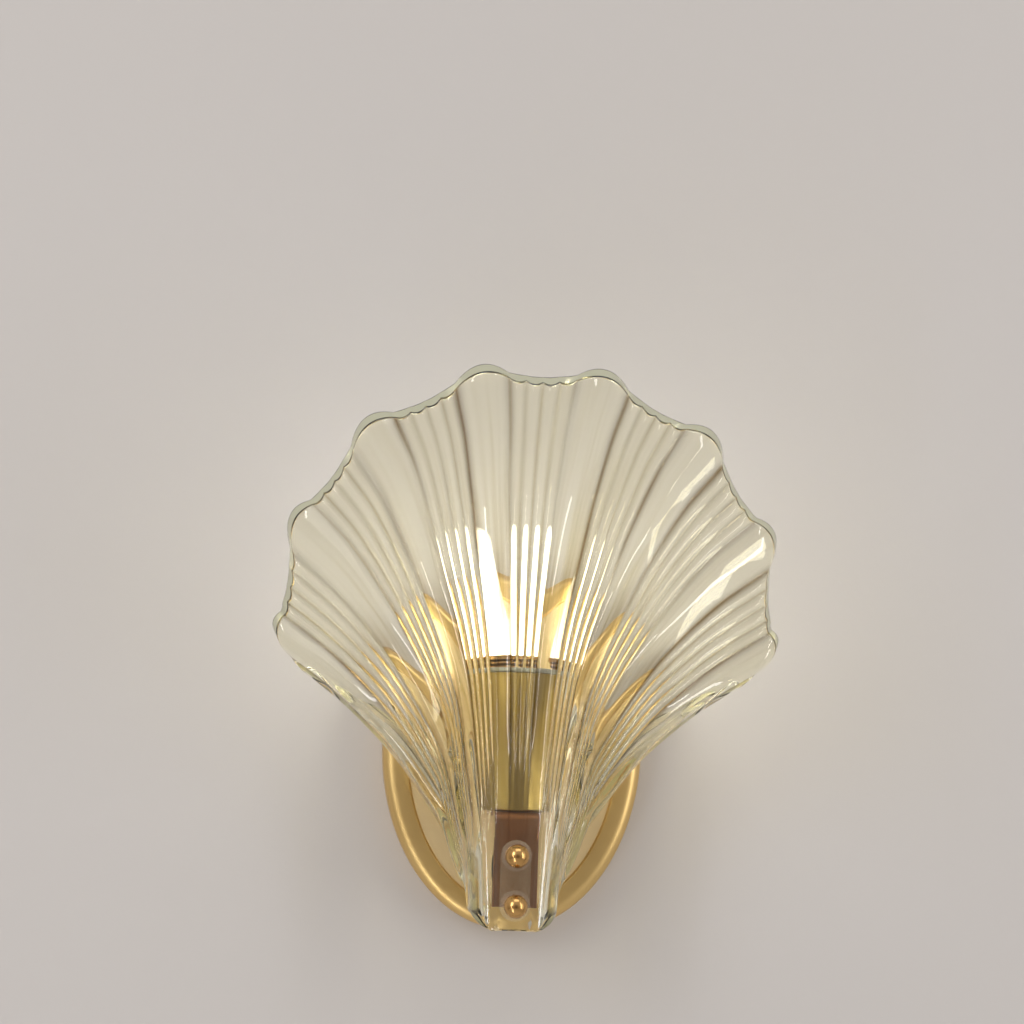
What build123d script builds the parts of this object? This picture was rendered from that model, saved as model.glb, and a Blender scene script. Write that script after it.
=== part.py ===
from build123d import *
import math
import os

# A shell wall sconce: a ribbed glass shell held by two cap nuts on a strip bracket, in front of
# an oval brass wall plate. The wall is the plane Y = 0 and the room is on its -Y side. The origin
# is the middle of the wall screw pattern. All sizes are in millimetres.

os.makedirs("parts", exist_ok=True)

CLEAR = 0.05  # running clearance, on the radius
LOOSE = 0.3  # clearance hole around a screw, on the radius

# ---- wall plate -------------------------------------------------------------------------------
PLATE_WIDTH = 130.0
PLATE_HEIGHT = 182.0
PLATE_DEPTH = 22.0
PLATE_WALL = 2.0
PLATE_RIM_WIDTH = 12.5
PLATE_RIM_STEP = 1.5
PLATE_RIM_ROUND = 6.0

# ---- wall crossbar ----------------------------------------------------------------------------
BAR_WIDTH = 16.0
BAR_THICKNESS = 1.5
BAR_END_GAP = 3.0
BAR_EAR_DEPTH = 15.0
WALL_HOLE_SPACING = 70.0
WALL_HOLE_DIAMETER = 5.5
EDGE_SCREW_RADIUS = 2.0
EDGE_SCREW_DEPTH = 9.0
EARTH_SCREW_HEIGHT = -15.0
EARTH_SCREW_RADIUS = 2.0

# ---- strip bracket ----------------------------------------------------------------------------
STRIP_WIDTH = 20.0
STRIP_THICKNESS = 2.5
STRIP_BEND = 4.0
SHELF_HEIGHT = -31.0  # top of the shelf that the lamp holder stands on
STRIP_TOP = 4.0
STRIP_BOTTOM = -77.0
BRACKET_SCREW_HEIGHTS = (-20.0, -4.0)
BRACKET_SCREW_RADIUS = 2.0

# ---- glass shell ------------------------------------------------------------------------------
GLASS_FRONT = 78.0  # distance of the neck's front from the wall
GLASS_THICKNESS = 6.0
PAD_CUT = 0.9  # how far the flat pad under the washers lies behind the neck's front
PAD_GLASS = 5.5  # glass left between the two flat pads
PAD_WIDTH = 17.0
SEAT_SIDE_GAP = 0.6
SEAT_TOP_GAP = 2.0
TIP_RADIUS = 23.5
TIP_CENTRE = -65.0
STUD_HEIGHTS = (-52.0, -76.0)
STUD_RADIUS = 2.5
SLEEVE_WALL = 1.2
GASKET = 1.2
WASHER_RADIUS = 7.5
WASHER_THICKNESS = 1.0
LOBE_COUNT = 8
LOBE_PITCH = 28.0  # degrees at the rim
LOBE_ANGLE = 12.5
FLUTES_PER_GROUP = 4
LOBE_HEIGHT = 0.05  # share of the half width
FLUTE_HEIGHT = 0.018
PETAL_LENGTH = 11.0
SIDE_ANGLE = 124.0
SQUARENESS = 0.085
ROLL_LIMIT = 0.30
ROLL_DEPTH = 1.35
RIB_ROWS = 12
# Cross-sections of the shell from its tip to its rim. Each gives the place along the ribs, the
# half width, how far the middle rises above the sides, the height of the sides, and how far the
# sides and the bulge stand from the wall beyond the neck's own.
SECTIONS = (
    (0.00, 22.5, 5.2, -92.2, 0.0, 20.0),
    (0.16, 25.5, 24.7, -65.0, 0.0, 20.0),
    (0.29, 30.5, 46.0, -50.5, 0.0, 20.3),
    (0.46, 39.0, 66.0, -25.0, 0.0, 24.0),
    (0.57, 48.5, 78.0, -9.0, 1.5, 27.5),
    (0.71, 64.0, 87.5, 13.0, 5.5, 33.5),
    (0.81, 76.5, 96.0, 27.5, 11.5, 39.5),
    (0.93, 96.0, 104.5, 46.5, 26.0, 47.0),
    (1.00, 114.5, 108.5, 60.5, 42.0, 46.0),
)
NECK_BULGE = SECTIONS[0][5]

# ---- cap nuts ---------------------------------------------------------------------------------
CAP_NUT_RADIUS = 5.75
CAP_NUT_FOOT = 5.0
CAP_NUT_LENGTH = 10.2
CAP_NUT_BORE = 7.5
STUD_GRIP = 6.8
STUD_NUT_ACROSS = 8.0
STUD_NUT_THICKNESS = 4.0
STUD_TAIL = 1.0

# ---- lamp holder ------------------------------------------------------------------------------
HOLDER_AXIS = -50.0  # Y of the bulb's axis
CUP_RADIUS = 18.0
CUP_WALL = 1.2
CUP_FLOOR = 2.0
CUP_HEIGHT = 67.5
RING_HEIGHT = 2.4
RING_LIP = 0.7
NIPPLE_RADIUS = 5.0
NIPPLE_BORE = 3.4
NIPPLE_BELOW = 8.5
NIPPLE_ABOVE = 14.0
NIPPLE_NUT_ACROSS = 14.0
NIPPLE_NUT_THICKNESS = 4.0
LOCK_WASHER_RADIUS = 8.0
LOCK_WASHER_THICKNESS = 1.0
HOLDER_RADIUS = 13.0
HOLDER_HEIGHT = 58.0
SOCKET_RADIUS = 8.3
SOCKET_DEPTH = 23.0
SCREW_SHELL_HEIGHT = 20.5
CONTACT_WIDTH = 5.0
CONTACT_THICKNESS = 0.8

# ---- bulb -------------------------------------------------------------------------------------
CAP_RADIUS = 7.0
CAP_LENGTH = 22.0
TIP_CONTACT_RADIUS = 3.0
TIP_CONTACT_LENGTH = 2.0
HOUSING_BOTTOM_RADIUS = 9.0
HOUSING_TOP_RADIUS = 15.0
HOUSING_LENGTH = 13.0
COVER_RADIUS = 14.5
COVER_WALL = 1.0
COVER_CROWN = 8.0
COVER_LENGTH = 66.0
COLUMN_ACROSS = 18.0
COLUMN_SIDES = 8
COLUMN_LENGTH = 58.0
CHIP_SIZE = 3.0
CHIP_THICKNESS = 0.8
CHIP_ROWS = 8
CHIP_PITCH = 7.0

# ---- wiring -----------------------------------------------------------------------------------
GROMMET_HEIGHT = -0.33 * PLATE_HEIGHT
LEAD_RADIUS = 2.0
LEAD_BEND = 16.0
LEAD_INNER_END = 9.0
LEAD_ABOVE_NIPPLE = 6.0
GROMMET_HOLE = 4.5
GROMMET_FLANGE = 6.5
GROMMET_FLANGE_THICKNESS = 1.2
BLOCK_WIDTH = 30.0
BLOCK_HEIGHT = 17.0
BLOCK_DEPTH = 11.0
BLOCK_CENTRE = 60.0
BLOCK_POLES = 3
TERMINAL_RADIUS = 2.0
TERMINAL_HEIGHT = 1.0
WIRE_RADIUS = 1.0
WIRE_SPACING = 5.0
WIRE_DEPTH = 12.0
WIRE_BEND = 6.0
WIRE_GRIP = 4.0

# ---- sizes worked out from the ones above -----------------------------------------------------
PLATE_FACE = PLATE_DEPTH - PLATE_RIM_STEP
PLATE_INSIDE = PLATE_FACE - PLATE_WALL
EAR_HEIGHT = PLATE_HEIGHT / 2 - PLATE_WALL - BAR_END_GAP
PAD_FRONT = GLASS_FRONT - PAD_CUT
PAD_BACK = PAD_FRONT - PAD_GLASS
STRIP_FRONT = PAD_BACK - GASKET
STRIP_BACK = STRIP_FRONT - STRIP_THICKNESS
SHELF_BOTTOM = SHELF_HEIGHT - STRIP_THICKNESS
GLASS_HOLE = STUD_RADIUS + SLEEVE_WALL
CAP_NUT_SEAT = PAD_FRONT + WASHER_THICKNESS
HOLDER_BOTTOM = SHELF_HEIGHT + CUP_FLOOR + LOCK_WASHER_THICKNESS
HOLDER_TOP = HOLDER_BOTTOM + HOLDER_HEIGHT
SOCKET_FLOOR = HOLDER_TOP - SOCKET_DEPTH
CUP_TOP = SHELF_HEIGHT + CUP_HEIGHT
TIP_BOTTOM = SOCKET_FLOOR + CONTACT_THICKNESS + CLEAR
CAP_BOTTOM = TIP_BOTTOM + TIP_CONTACT_LENGTH
HOUSING_BOTTOM = CAP_BOTTOM + CAP_LENGTH
HOUSING_TOP = HOUSING_BOTTOM + HOUSING_LENGTH


def save(part, label):
    """Write one finished piece under its own name."""
    part.label = label
    export_step(part, f"parts/{label}.step")


def facing_room(distance, x=0.0, z=0.0):
    """A plane parallel to the wall at a distance from it, whose normal points to the room."""
    return Plane(origin=(x, -distance, z), x_dir=(1, 0, 0), z_dir=(0, -1, 0))


def upright(height, x=0.0, y=HOLDER_AXIS):
    """A level plane at a height, on the bulb's axis unless told otherwise."""
    return Plane.XY.offset(height).move(Location((x, y, 0)))


# ---- wall plate: a hollow oval with a rounded rim moulding --------------------------------------
with BuildPart() as backplate:
    with BuildSketch(facing_room(0)):
        Ellipse(PLATE_WIDTH / 2, PLATE_HEIGHT / 2)
    extrude(amount=PLATE_DEPTH)
    fillet(backplate.faces().sort_by(Axis.Y)[0].edges(), radius=PLATE_RIM_ROUND)
    with BuildSketch(facing_room(PLATE_FACE)):
        Ellipse(PLATE_WIDTH / 2 - PLATE_RIM_WIDTH, PLATE_HEIGHT / 2 - PLATE_RIM_WIDTH)
    extrude(amount=PLATE_RIM_STEP, mode=Mode.SUBTRACT)
    with BuildSketch(facing_room(0)):
        Ellipse(PLATE_WIDTH / 2 - PLATE_WALL, PLATE_HEIGHT / 2 - PLATE_WALL)
    extrude(amount=PLATE_INSIDE, mode=Mode.SUBTRACT)
    with BuildSketch(facing_room(0)):
        with Locations(*[(0, height) for height in BRACKET_SCREW_HEIGHTS]):
            Circle(BRACKET_SCREW_RADIUS + LOOSE)
        with Locations((0, GROMMET_HEIGHT)):
            Circle(GROMMET_HOLE)
    extrude(amount=PLATE_DEPTH, mode=Mode.SUBTRACT)
    with BuildSketch(Plane.XY):
        with Locations((0, -EDGE_SCREW_DEPTH)):
            Circle(EDGE_SCREW_RADIUS + CLEAR)
    extrude(amount=PLATE_HEIGHT, both=True, mode=Mode.SUBTRACT)
save(backplate.part, "backplate")

# ---- wall crossbar: a steel strap with bent ears, screwed to the wall ---------------------------
with BuildPart() as wall_crossbar:
    with BuildSketch(facing_room(0)):
        Rectangle(BAR_WIDTH, 2 * EAR_HEIGHT)
    extrude(amount=BAR_THICKNESS)
    for side in (-1, 1):
        with BuildSketch(Plane.XY.offset(side * EAR_HEIGHT)):
            with Locations((0, -BAR_EAR_DEPTH / 2)):
                Rectangle(BAR_WIDTH, BAR_EAR_DEPTH)
        extrude(amount=-side * BAR_THICKNESS)
    with BuildSketch(facing_room(0)):
        with GridLocations(0, WALL_HOLE_SPACING, 1, 2):
            Circle(WALL_HOLE_DIAMETER / 2)
        with Locations((0, EARTH_SCREW_HEIGHT)):
            Circle(EARTH_SCREW_RADIUS + CLEAR)
    extrude(amount=BAR_THICKNESS, mode=Mode.SUBTRACT)
    with BuildSketch(Plane.XY):
        with Locations((0, -EDGE_SCREW_DEPTH)):
            Circle(EDGE_SCREW_RADIUS + CLEAR)
    extrude(amount=PLATE_HEIGHT, both=True, mode=Mode.SUBTRACT)
save(wall_crossbar.part, "wall_crossbar")

# Two headless screws in the plate's edge, which grip the ears.
with BuildPart() as plate_edge_screws:
    for side in (-1, 1):
        with BuildSketch(Plane.XY.offset(side * (EAR_HEIGHT - BAR_THICKNESS - 1))):
            with Locations((0, -EDGE_SCREW_DEPTH)):
                Circle(EDGE_SCREW_RADIUS)
        extrude(amount=side * (PLATE_HEIGHT / 2 - EAR_HEIGHT + BAR_THICKNESS + 0.8))
save(plate_edge_screws.part, "plate_edge_screws")

with BuildPart() as earth_screw:
    with BuildSketch(facing_room(0, z=EARTH_SCREW_HEIGHT)):
        Circle(EARTH_SCREW_RADIUS)
    extrude(amount=BAR_THICKNESS + 1)
    with BuildSketch(facing_room(BAR_THICKNESS, z=EARTH_SCREW_HEIGHT)):
        Circle(2 * EARTH_SCREW_RADIUS)
    extrude(amount=2.4)
    fillet(earth_screw.faces().sort_by(Axis.Y)[0].edges(), radius=0.8)
save(earth_screw.part, "earth_screw")

# ---- strip bracket: bent from one strip, wall leg, shelf and front leg --------------------------
with BuildPart() as strip_bracket:
    middle = STRIP_THICKNESS / 2
    with BuildSketch(Plane.YZ):
        with BuildLine():
            FilletPolyline(
                (-PLATE_FACE - middle, STRIP_TOP),
                (-PLATE_FACE - middle, SHELF_HEIGHT - middle),
                (-STRIP_FRONT + middle, SHELF_HEIGHT - middle),
                (-STRIP_FRONT + middle, STRIP_BOTTOM),
                radius=STRIP_BEND - middle,
            )
        trace(line_width=STRIP_THICKNESS)
    extrude(amount=STRIP_WIDTH / 2, both=True)
    with BuildSketch(facing_room(PLATE_FACE - 1)):
        with Locations(*[(0, height) for height in BRACKET_SCREW_HEIGHTS]):
            Circle(BRACKET_SCREW_RADIUS + LOOSE)
    extrude(amount=STRIP_THICKNESS + 2, mode=Mode.SUBTRACT)
    with BuildSketch(upright(SHELF_BOTTOM - 1)):
        Circle(NIPPLE_RADIUS + CLEAR)
    extrude(amount=STRIP_THICKNESS + 2, mode=Mode.SUBTRACT)
    with BuildSketch(facing_room(STRIP_BACK - 1)):
        with Locations(*[(0, height) for height in STUD_HEIGHTS]):
            Circle(STUD_RADIUS + CLEAR)
    extrude(amount=STRIP_THICKNESS + 2, mode=Mode.SUBTRACT)
save(strip_bracket.part, "strip_bracket")

# Pan head screws hold the wall leg to the plate, with nuts inside the plate.
SCREW_HEAD = 2.5
SCREW_NUT_THICKNESS = 3.0
with BuildPart() as bracket_screws:
    for height in BRACKET_SCREW_HEIGHTS:
        with BuildSketch(facing_room(PLATE_INSIDE - SCREW_NUT_THICKNESS - 1, z=height)):
            Circle(BRACKET_SCREW_RADIUS)
        extrude(amount=SCREW_NUT_THICKNESS + 1 + PLATE_WALL + STRIP_THICKNESS)
        with BuildSketch(facing_room(PLATE_FACE + STRIP_THICKNESS, z=height)):
            Circle(2 * BRACKET_SCREW_RADIUS)
        extrude(amount=SCREW_HEAD)
    fillet(bracket_screws.faces().group_by(Axis.Y)[0].edges(), radius=1.2)
save(bracket_screws.part, "bracket_screws")

with BuildPart() as bracket_nuts:
    for height in BRACKET_SCREW_HEIGHTS:
        with BuildSketch(facing_room(PLATE_INSIDE - SCREW_NUT_THICKNESS, z=height)):
            RegularPolygon(3.5, 6, major_radius=False)
            Circle(BRACKET_SCREW_RADIUS + CLEAR, mode=Mode.SUBTRACT)
        extrude(amount=SCREW_NUT_THICKNESS)
save(bracket_nuts.part, "bracket_nuts")


# ---- glass shell ------------------------------------------------------------------------------
def section(place, column):
    """Read one column of SECTIONS at a place along the ribs, smoothly between the sections."""
    places = [row[0] for row in SECTIONS]
    values = [row[column] for row in SECTIONS]
    last = len(places) - 1

    def slope(i):
        low, high = max(i - 1, 0), min(i + 1, last)
        return (values[high] - values[low]) / (places[high] - places[low])

    i = min(sum(1 for p in places[1:] if place >= p), last - 1)
    span = places[i + 1] - places[i]
    s = (place - places[i]) / span
    return (
        values[i] * (1 + 2 * s) * (1 - s) ** 2
        + values[i + 1] * s * s * (3 - 2 * s)
        + span * s * (1 - s) * (slope(i) * (1 - s) - slope(i + 1) * s)
    )


def smooth_shell(angle, place):
    """A point of the shell without its ribs, at an angle across it and a place along it."""
    a = math.radians(angle)
    half_width, rise, side_height, side_out, bulge = (section(place, c) for c in range(1, 6))
    across = math.sin(a) + SQUARENESS * (1 - place**3) * math.sin(3 * a)
    forward = math.cos(a)
    up = forward
    if forward < 0:  # the sides roll back to the wall and stop sinking
        up = ROLL_LIMIT * math.tanh(forward / ROLL_LIMIT)
        forward *= ROLL_DEPTH
    neck_axis = GLASS_FRONT - NECK_BULGE
    return Vector(half_width * across, -neck_axis - side_out - bulge * forward, side_height + rise * up)


def from_lobe(angle):
    """Angle to the middle of the nearest wide lobe."""
    first = -(LOBE_COUNT - 1) / 2 * LOBE_PITCH
    nearest = min(max(round((angle - first) / LOBE_PITCH), 0), LOBE_COUNT - 1)
    return abs(angle - first - LOBE_PITCH * nearest)


def lobe_height(angle):
    """1 on the crest of a wide lobe, 0 beside it."""
    return max(0.0, 1 - (from_lobe(angle) / (LOBE_ANGLE / 2)) ** 2)


def rim_wave(angle):
    """1 where the rim reaches furthest, on a wide lobe, and 0 midway between two lobes."""
    swell = (1 + math.cos(2 * math.pi * min(0.5, from_lobe(angle) / LOBE_PITCH))) / 2
    return (swell + lobe_height(angle)) / 2


def flute_height(angle):
    """1 on the crest of a narrow rib between two lobes, 0 in the grooves and outside."""
    group = LOBE_PITCH - LOBE_ANGLE
    edge = (LOBE_COUNT - 1) / 2 * LOBE_PITCH - LOBE_ANGLE / 2
    step = (angle + edge) % LOBE_PITCH
    if abs(angle) > edge or step > group:
        return 0.0
    return 1 - (2 * (step / group * FLUTES_PER_GROUP % 1) - 1) ** 2


def shell_point(angle, place, outside):
    """A point on the ribbed outside or on the calmer inside of the glass."""
    nudge = 0.002
    base = smooth_shell(angle, place)
    if place > 0.5:
        rib_way = base - smooth_shell(angle, place - nudge)
    else:
        rib_way = smooth_shell(angle, place + nudge) - base
    rib_way = rib_way.normalized()
    cross_way = smooth_shell(angle + nudge, place) - smooth_shell(angle - nudge, place)
    outward = cross_way.cross(rib_way).normalized()
    half_width = section(place, 1)
    fade = min(1.0, max(0.0, (place - 0.10) / 0.25))
    relief = LOBE_HEIGHT * lobe_height(angle) * (1 - 0.35 * place**4)
    if outside:
        offset = (relief + FLUTE_HEIGHT * flute_height(angle)) * half_width * fade
    else:
        offset = 0.8 * relief * half_width * fade - GLASS_THICKNESS
    petal = PETAL_LENGTH * rim_wave(angle) * max(0.0, (place - 0.75) / 0.25) ** 3
    return base + outward * offset + rib_way * petal


def rib_angles(lobe_steps, flute_steps):
    """Angles across the shell, closer together where there are ribs."""
    group = LOBE_PITCH - LOBE_ANGLE
    start = -(LOBE_COUNT - 1) / 2 * LOBE_PITCH - LOBE_ANGLE / 2
    side_steps = 4
    side = SIDE_ANGLE + start
    marks = [-SIDE_ANGLE + side * k / side_steps for k in range(side_steps)]
    for lobe in range(LOBE_COUNT):
        at = start + lobe * LOBE_PITCH
        marks += [at + LOBE_ANGLE * k / lobe_steps for k in range(lobe_steps)]
        if lobe < LOBE_COUNT - 1:
            marks += [at + LOBE_ANGLE + group * k / flute_steps for k in range(flute_steps)]
    return marks + [-start + side * k / side_steps for k in range(side_steps + 1)]


def glass_body():
    """The closed glass: ruled bands from section to section, outside, inside and both edges."""
    places = [row / RIB_ROWS for row in range(RIB_ROWS + 1)]
    outside_angles = rib_angles(6, 3 * FLUTES_PER_GROUP)
    inside_angles = rib_angles(4, 3)
    outside = [Edge.make_spline([shell_point(a, p, True) for a in outside_angles]) for p in places]
    inside = [Edge.make_spline([shell_point(a, p, False) for a in inside_angles]) for p in places]
    faces = [Face.make_surface_from_curves(outside[i], inside[i]) for i in (0, -1)]
    for i in range(RIB_ROWS):
        faces.append(Face.make_surface_from_curves(outside[i], outside[i + 1]))
        faces.append(Face.make_surface_from_curves(inside[i], inside[i + 1]))
        for end in (0, 1):
            lower = Edge.make_line(outside[i] @ end, inside[i] @ end)
            upper = Edge.make_line(outside[i + 1] @ end, inside[i + 1] @ end)
            faces.append(Face.make_surface_from_curves(lower, upper))
    return Solid(Shell(faces))


with BuildPart() as shell_glass:
    add(glass_body())
    # The neck ends in a round tongue.
    with BuildSketch(Plane.XZ) as below_tip:
        with Locations((0, TIP_CENTRE - 2 * TIP_RADIUS)):
            Rectangle(4 * TIP_RADIUS, 4 * TIP_RADIUS)
        with Locations((0, TIP_CENTRE)):
            Circle(TIP_RADIUS, mode=Mode.SUBTRACT)
    extrude(amount=2 * GLASS_FRONT, mode=Mode.SUBTRACT)
    # Flat pads in front and behind, where the washers and the bracket seat.
    with BuildSketch(facing_room(PAD_FRONT)):
        with Locations((0, sum(STUD_HEIGHTS) / 2)):
            SlotCenterToCenter(STUD_HEIGHTS[0] - STUD_HEIGHTS[1], PAD_WIDTH, rotation=90)
    extrude(amount=GLASS_THICKNESS, mode=Mode.SUBTRACT)
    with BuildSketch(facing_room(0)):
        with Locations((0, SHELF_HEIGHT + SEAT_TOP_GAP)):
            Rectangle(
                STRIP_WIDTH + 2 * SEAT_SIDE_GAP,
                SHELF_HEIGHT + SEAT_TOP_GAP - TIP_CENTRE + TIP_RADIUS,
                align=(Align.CENTER, Align.MAX),
            )
    extrude(amount=PAD_BACK, mode=Mode.SUBTRACT)
    with BuildSketch(facing_room(0)):
        with Locations(*[(0, height) for height in STUD_HEIGHTS]):
            Circle(GLASS_HOLE)
    extrude(amount=2 * GLASS_FRONT, mode=Mode.SUBTRACT)
save(shell_glass.part, "shell_glass")

# ---- what holds the glass -----------------------------------------------------------------------
with BuildPart() as glass_gasket:
    with BuildSketch(facing_room(STRIP_FRONT)):
        with Locations((0, sum(STUD_HEIGHTS) / 2)):
            SlotCenterToCenter(STUD_HEIGHTS[0] - STUD_HEIGHTS[1], 2 * WASHER_RADIUS, rotation=90)
        with Locations(*[(0, height) for height in STUD_HEIGHTS]):
            Circle(STUD_RADIUS + CLEAR, mode=Mode.SUBTRACT)
    extrude(amount=GASKET)
save(glass_gasket.part, "glass_gasket")

with BuildPart() as stud_sleeves:
    with BuildSketch(facing_room(PAD_BACK)):
        with Locations(*[(0, height) for height in STUD_HEIGHTS]):
            Circle(GLASS_HOLE - CLEAR)
            Circle(STUD_RADIUS + CLEAR, mode=Mode.SUBTRACT)
    extrude(amount=PAD_GLASS)
save(stud_sleeves.part, "stud_sleeves")

with BuildPart() as glass_washers:
    with BuildSketch(facing_room(PAD_FRONT)):
        with Locations(*[(0, height) for height in STUD_HEIGHTS]):
            Circle(WASHER_RADIUS)
            Circle(STUD_RADIUS + CLEAR, mode=Mode.SUBTRACT)
    extrude(amount=WASHER_THICKNESS)
save(glass_washers.part, "glass_washers")

with BuildPart() as glass_studs:
    with BuildSketch(facing_room(STRIP_BACK - STUD_NUT_THICKNESS - STUD_TAIL)):
        with Locations(*[(0, height) for height in STUD_HEIGHTS]):
            Circle(STUD_RADIUS)
    extrude(amount=CAP_NUT_SEAT + STUD_GRIP - STRIP_BACK + STUD_NUT_THICKNESS + STUD_TAIL)
save(glass_studs.part, "glass_studs")

with BuildPart() as stud_nuts:
    with BuildSketch(facing_room(STRIP_BACK - STUD_NUT_THICKNESS)):
        with Locations(*[(0, height) for height in STUD_HEIGHTS]):
            RegularPolygon(STUD_NUT_ACROSS / 2, 6, major_radius=False)
            Circle(STUD_RADIUS + CLEAR, mode=Mode.SUBTRACT)
    extrude(amount=STUD_NUT_THICKNESS)
save(stud_nuts.part, "stud_nuts")

for name, height in zip(("upper_cap_nut", "lower_cap_nut"), STUD_HEIGHTS):
    # A turned ball on a short foot, with a blind bore for the stud.
    with BuildPart() as cap_nut:
        ball = CAP_NUT_LENGTH - CAP_NUT_RADIUS
        foot = ball - math.sqrt(CAP_NUT_RADIUS**2 - CAP_NUT_FOOT**2)
        with BuildSketch(Plane(origin=(0, -CAP_NUT_SEAT - CLEAR, height), x_dir=(1, 0, 0), z_dir=(0, 0, 1))):
            with BuildLine():
                Line((STUD_RADIUS + CLEAR, 0), (CAP_NUT_FOOT, 0))
                Line((CAP_NUT_FOOT, 0), (CAP_NUT_FOOT, -foot))
                ThreePointArc(
                    (CAP_NUT_FOOT, -foot),
                    (CAP_NUT_RADIUS, -ball),
                    (CAP_NUT_RADIUS * math.sin(math.pi / 4), -ball - CAP_NUT_RADIUS * math.cos(math.pi / 4)),
                )
                ThreePointArc(
                    (CAP_NUT_RADIUS * math.sin(math.pi / 4), -ball - CAP_NUT_RADIUS * math.cos(math.pi / 4)),
                    (CAP_NUT_RADIUS * math.sin(math.pi / 8), -ball - CAP_NUT_RADIUS * math.cos(math.pi / 8)),
                    (0, -CAP_NUT_LENGTH),
                )
                Line((0, -CAP_NUT_LENGTH), (0, -CAP_NUT_BORE))
                Line((0, -CAP_NUT_BORE), (STUD_RADIUS + CLEAR, -CAP_NUT_BORE))
                Line((STUD_RADIUS + CLEAR, -CAP_NUT_BORE), (STUD_RADIUS + CLEAR, 0))
            make_face()
        revolve(axis=Axis((0, 0, height), (0, 1, 0)))
    save(cap_nut.part, name)

# ---- lamp holder: nipple, cup and socket --------------------------------------------------------
with BuildPart() as holder_nipple:
    with BuildSketch(upright(SHELF_BOTTOM - NIPPLE_BELOW)):
        Circle(NIPPLE_RADIUS)
        Circle(NIPPLE_BORE, mode=Mode.SUBTRACT)
    extrude(amount=NIPPLE_BELOW + STRIP_THICKNESS + NIPPLE_ABOVE)
save(holder_nipple.part, "holder_nipple")

with BuildPart() as nipple_nut:
    with BuildSketch(upright(SHELF_BOTTOM - NIPPLE_NUT_THICKNESS)):
        RegularPolygon(NIPPLE_NUT_ACROSS / 2, 6, major_radius=False)
        Circle(NIPPLE_RADIUS + CLEAR, mode=Mode.SUBTRACT)
    extrude(amount=NIPPLE_NUT_THICKNESS)
save(nipple_nut.part, "nipple_nut")

with BuildPart() as holder_cup:
    with BuildSketch(upright(SHELF_HEIGHT)):
        Circle(CUP_RADIUS)
    extrude(amount=CUP_HEIGHT)
    fillet(holder_cup.faces().sort_by(Axis.Z)[0].edges(), radius=1.5)
    with BuildSketch(upright(SHELF_HEIGHT + CUP_FLOOR)):
        Circle(CUP_RADIUS - CUP_WALL)
    extrude(amount=CUP_HEIGHT, mode=Mode.SUBTRACT)
    with BuildSketch(upright(SHELF_HEIGHT)):
        Circle(NIPPLE_RADIUS + CLEAR)
    extrude(amount=CUP_FLOOR, mode=Mode.SUBTRACT)
save(holder_cup.part, "holder_cup")

with BuildPart() as cup_ring:
    with BuildSketch(upright(CUP_TOP)):
        Circle(CUP_RADIUS + RING_LIP)
        Circle(CUP_RADIUS - CUP_WALL, mode=Mode.SUBTRACT)
    extrude(amount=RING_HEIGHT)
    fillet(cup_ring.faces().sort_by(Axis.Z)[-1].outer_wire().edges(), radius=0.7)
save(cup_ring.part, "cup_ring")

with BuildPart() as lock_washer:
    with BuildSketch(upright(SHELF_HEIGHT + CUP_FLOOR)):
        Circle(LOCK_WASHER_RADIUS)
        Circle(NIPPLE_RADIUS + CLEAR, mode=Mode.SUBTRACT)
    extrude(amount=LOCK_WASHER_THICKNESS)
save(lock_washer.part, "lock_washer")

with BuildPart() as lamp_holder:
    with BuildSketch(upright(HOLDER_BOTTOM)):
        Circle(HOLDER_RADIUS)
    extrude(amount=HOLDER_HEIGHT)
    chamfer(lamp_holder.faces().sort_by(Axis.Z)[-1].edges(), length=1.5)
    with BuildSketch(upright(SOCKET_FLOOR)):
        Circle(SOCKET_RADIUS)
    extrude(amount=SOCKET_DEPTH, mode=Mode.SUBTRACT)
    with BuildSketch(upright(HOLDER_BOTTOM)):
        Circle(NIPPLE_RADIUS + CLEAR)
    extrude(amount=NIPPLE_ABOVE, mode=Mode.SUBTRACT)
    with BuildSketch(upright(HOLDER_BOTTOM)):
        Circle(LEAD_RADIUS + LOOSE)
    extrude(amount=SOCKET_FLOOR - HOLDER_BOTTOM - 3, mode=Mode.SUBTRACT)
save(lamp_holder.part, "lamp_holder")

with BuildPart() as holder_screw_shell:
    with BuildSketch(upright(HOLDER_TOP - SCREW_SHELL_HEIGHT)):
        Circle(SOCKET_RADIUS - CLEAR)
        Circle(CAP_RADIUS + CLEAR, mode=Mode.SUBTRACT)
    extrude(amount=SCREW_SHELL_HEIGHT)
save(holder_screw_shell.part, "holder_screw_shell")

with BuildPart() as centre_contact:
    with BuildSketch(upright(SOCKET_FLOOR)):
        Rectangle(2 * CONTACT_WIDTH, CONTACT_WIDTH)
        Circle(1.0, mode=Mode.SUBTRACT)
    extrude(amount=CONTACT_THICKNESS)
save(centre_contact.part, "centre_contact")

# ---- bulb: turned out of the holder as one piece -------------------------------------------------
with BuildPart() as bulb_tip:
    with BuildSketch(upright(TIP_BOTTOM)):
        Circle(TIP_CONTACT_RADIUS)
    extrude(amount=TIP_CONTACT_LENGTH)
    fillet(bulb_tip.faces().sort_by(Axis.Z)[0].edges(), radius=0.8)
save(bulb_tip.part, "bulb_tip")

with BuildPart() as bulb_cap:
    with BuildSketch(upright(CAP_BOTTOM)):
        Circle(CAP_RADIUS)
    extrude(amount=CAP_LENGTH)
    chamfer(bulb_cap.faces().sort_by(Axis.Z)[0].edges(), length=2.0)
save(bulb_cap.part, "bulb_cap")

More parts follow.
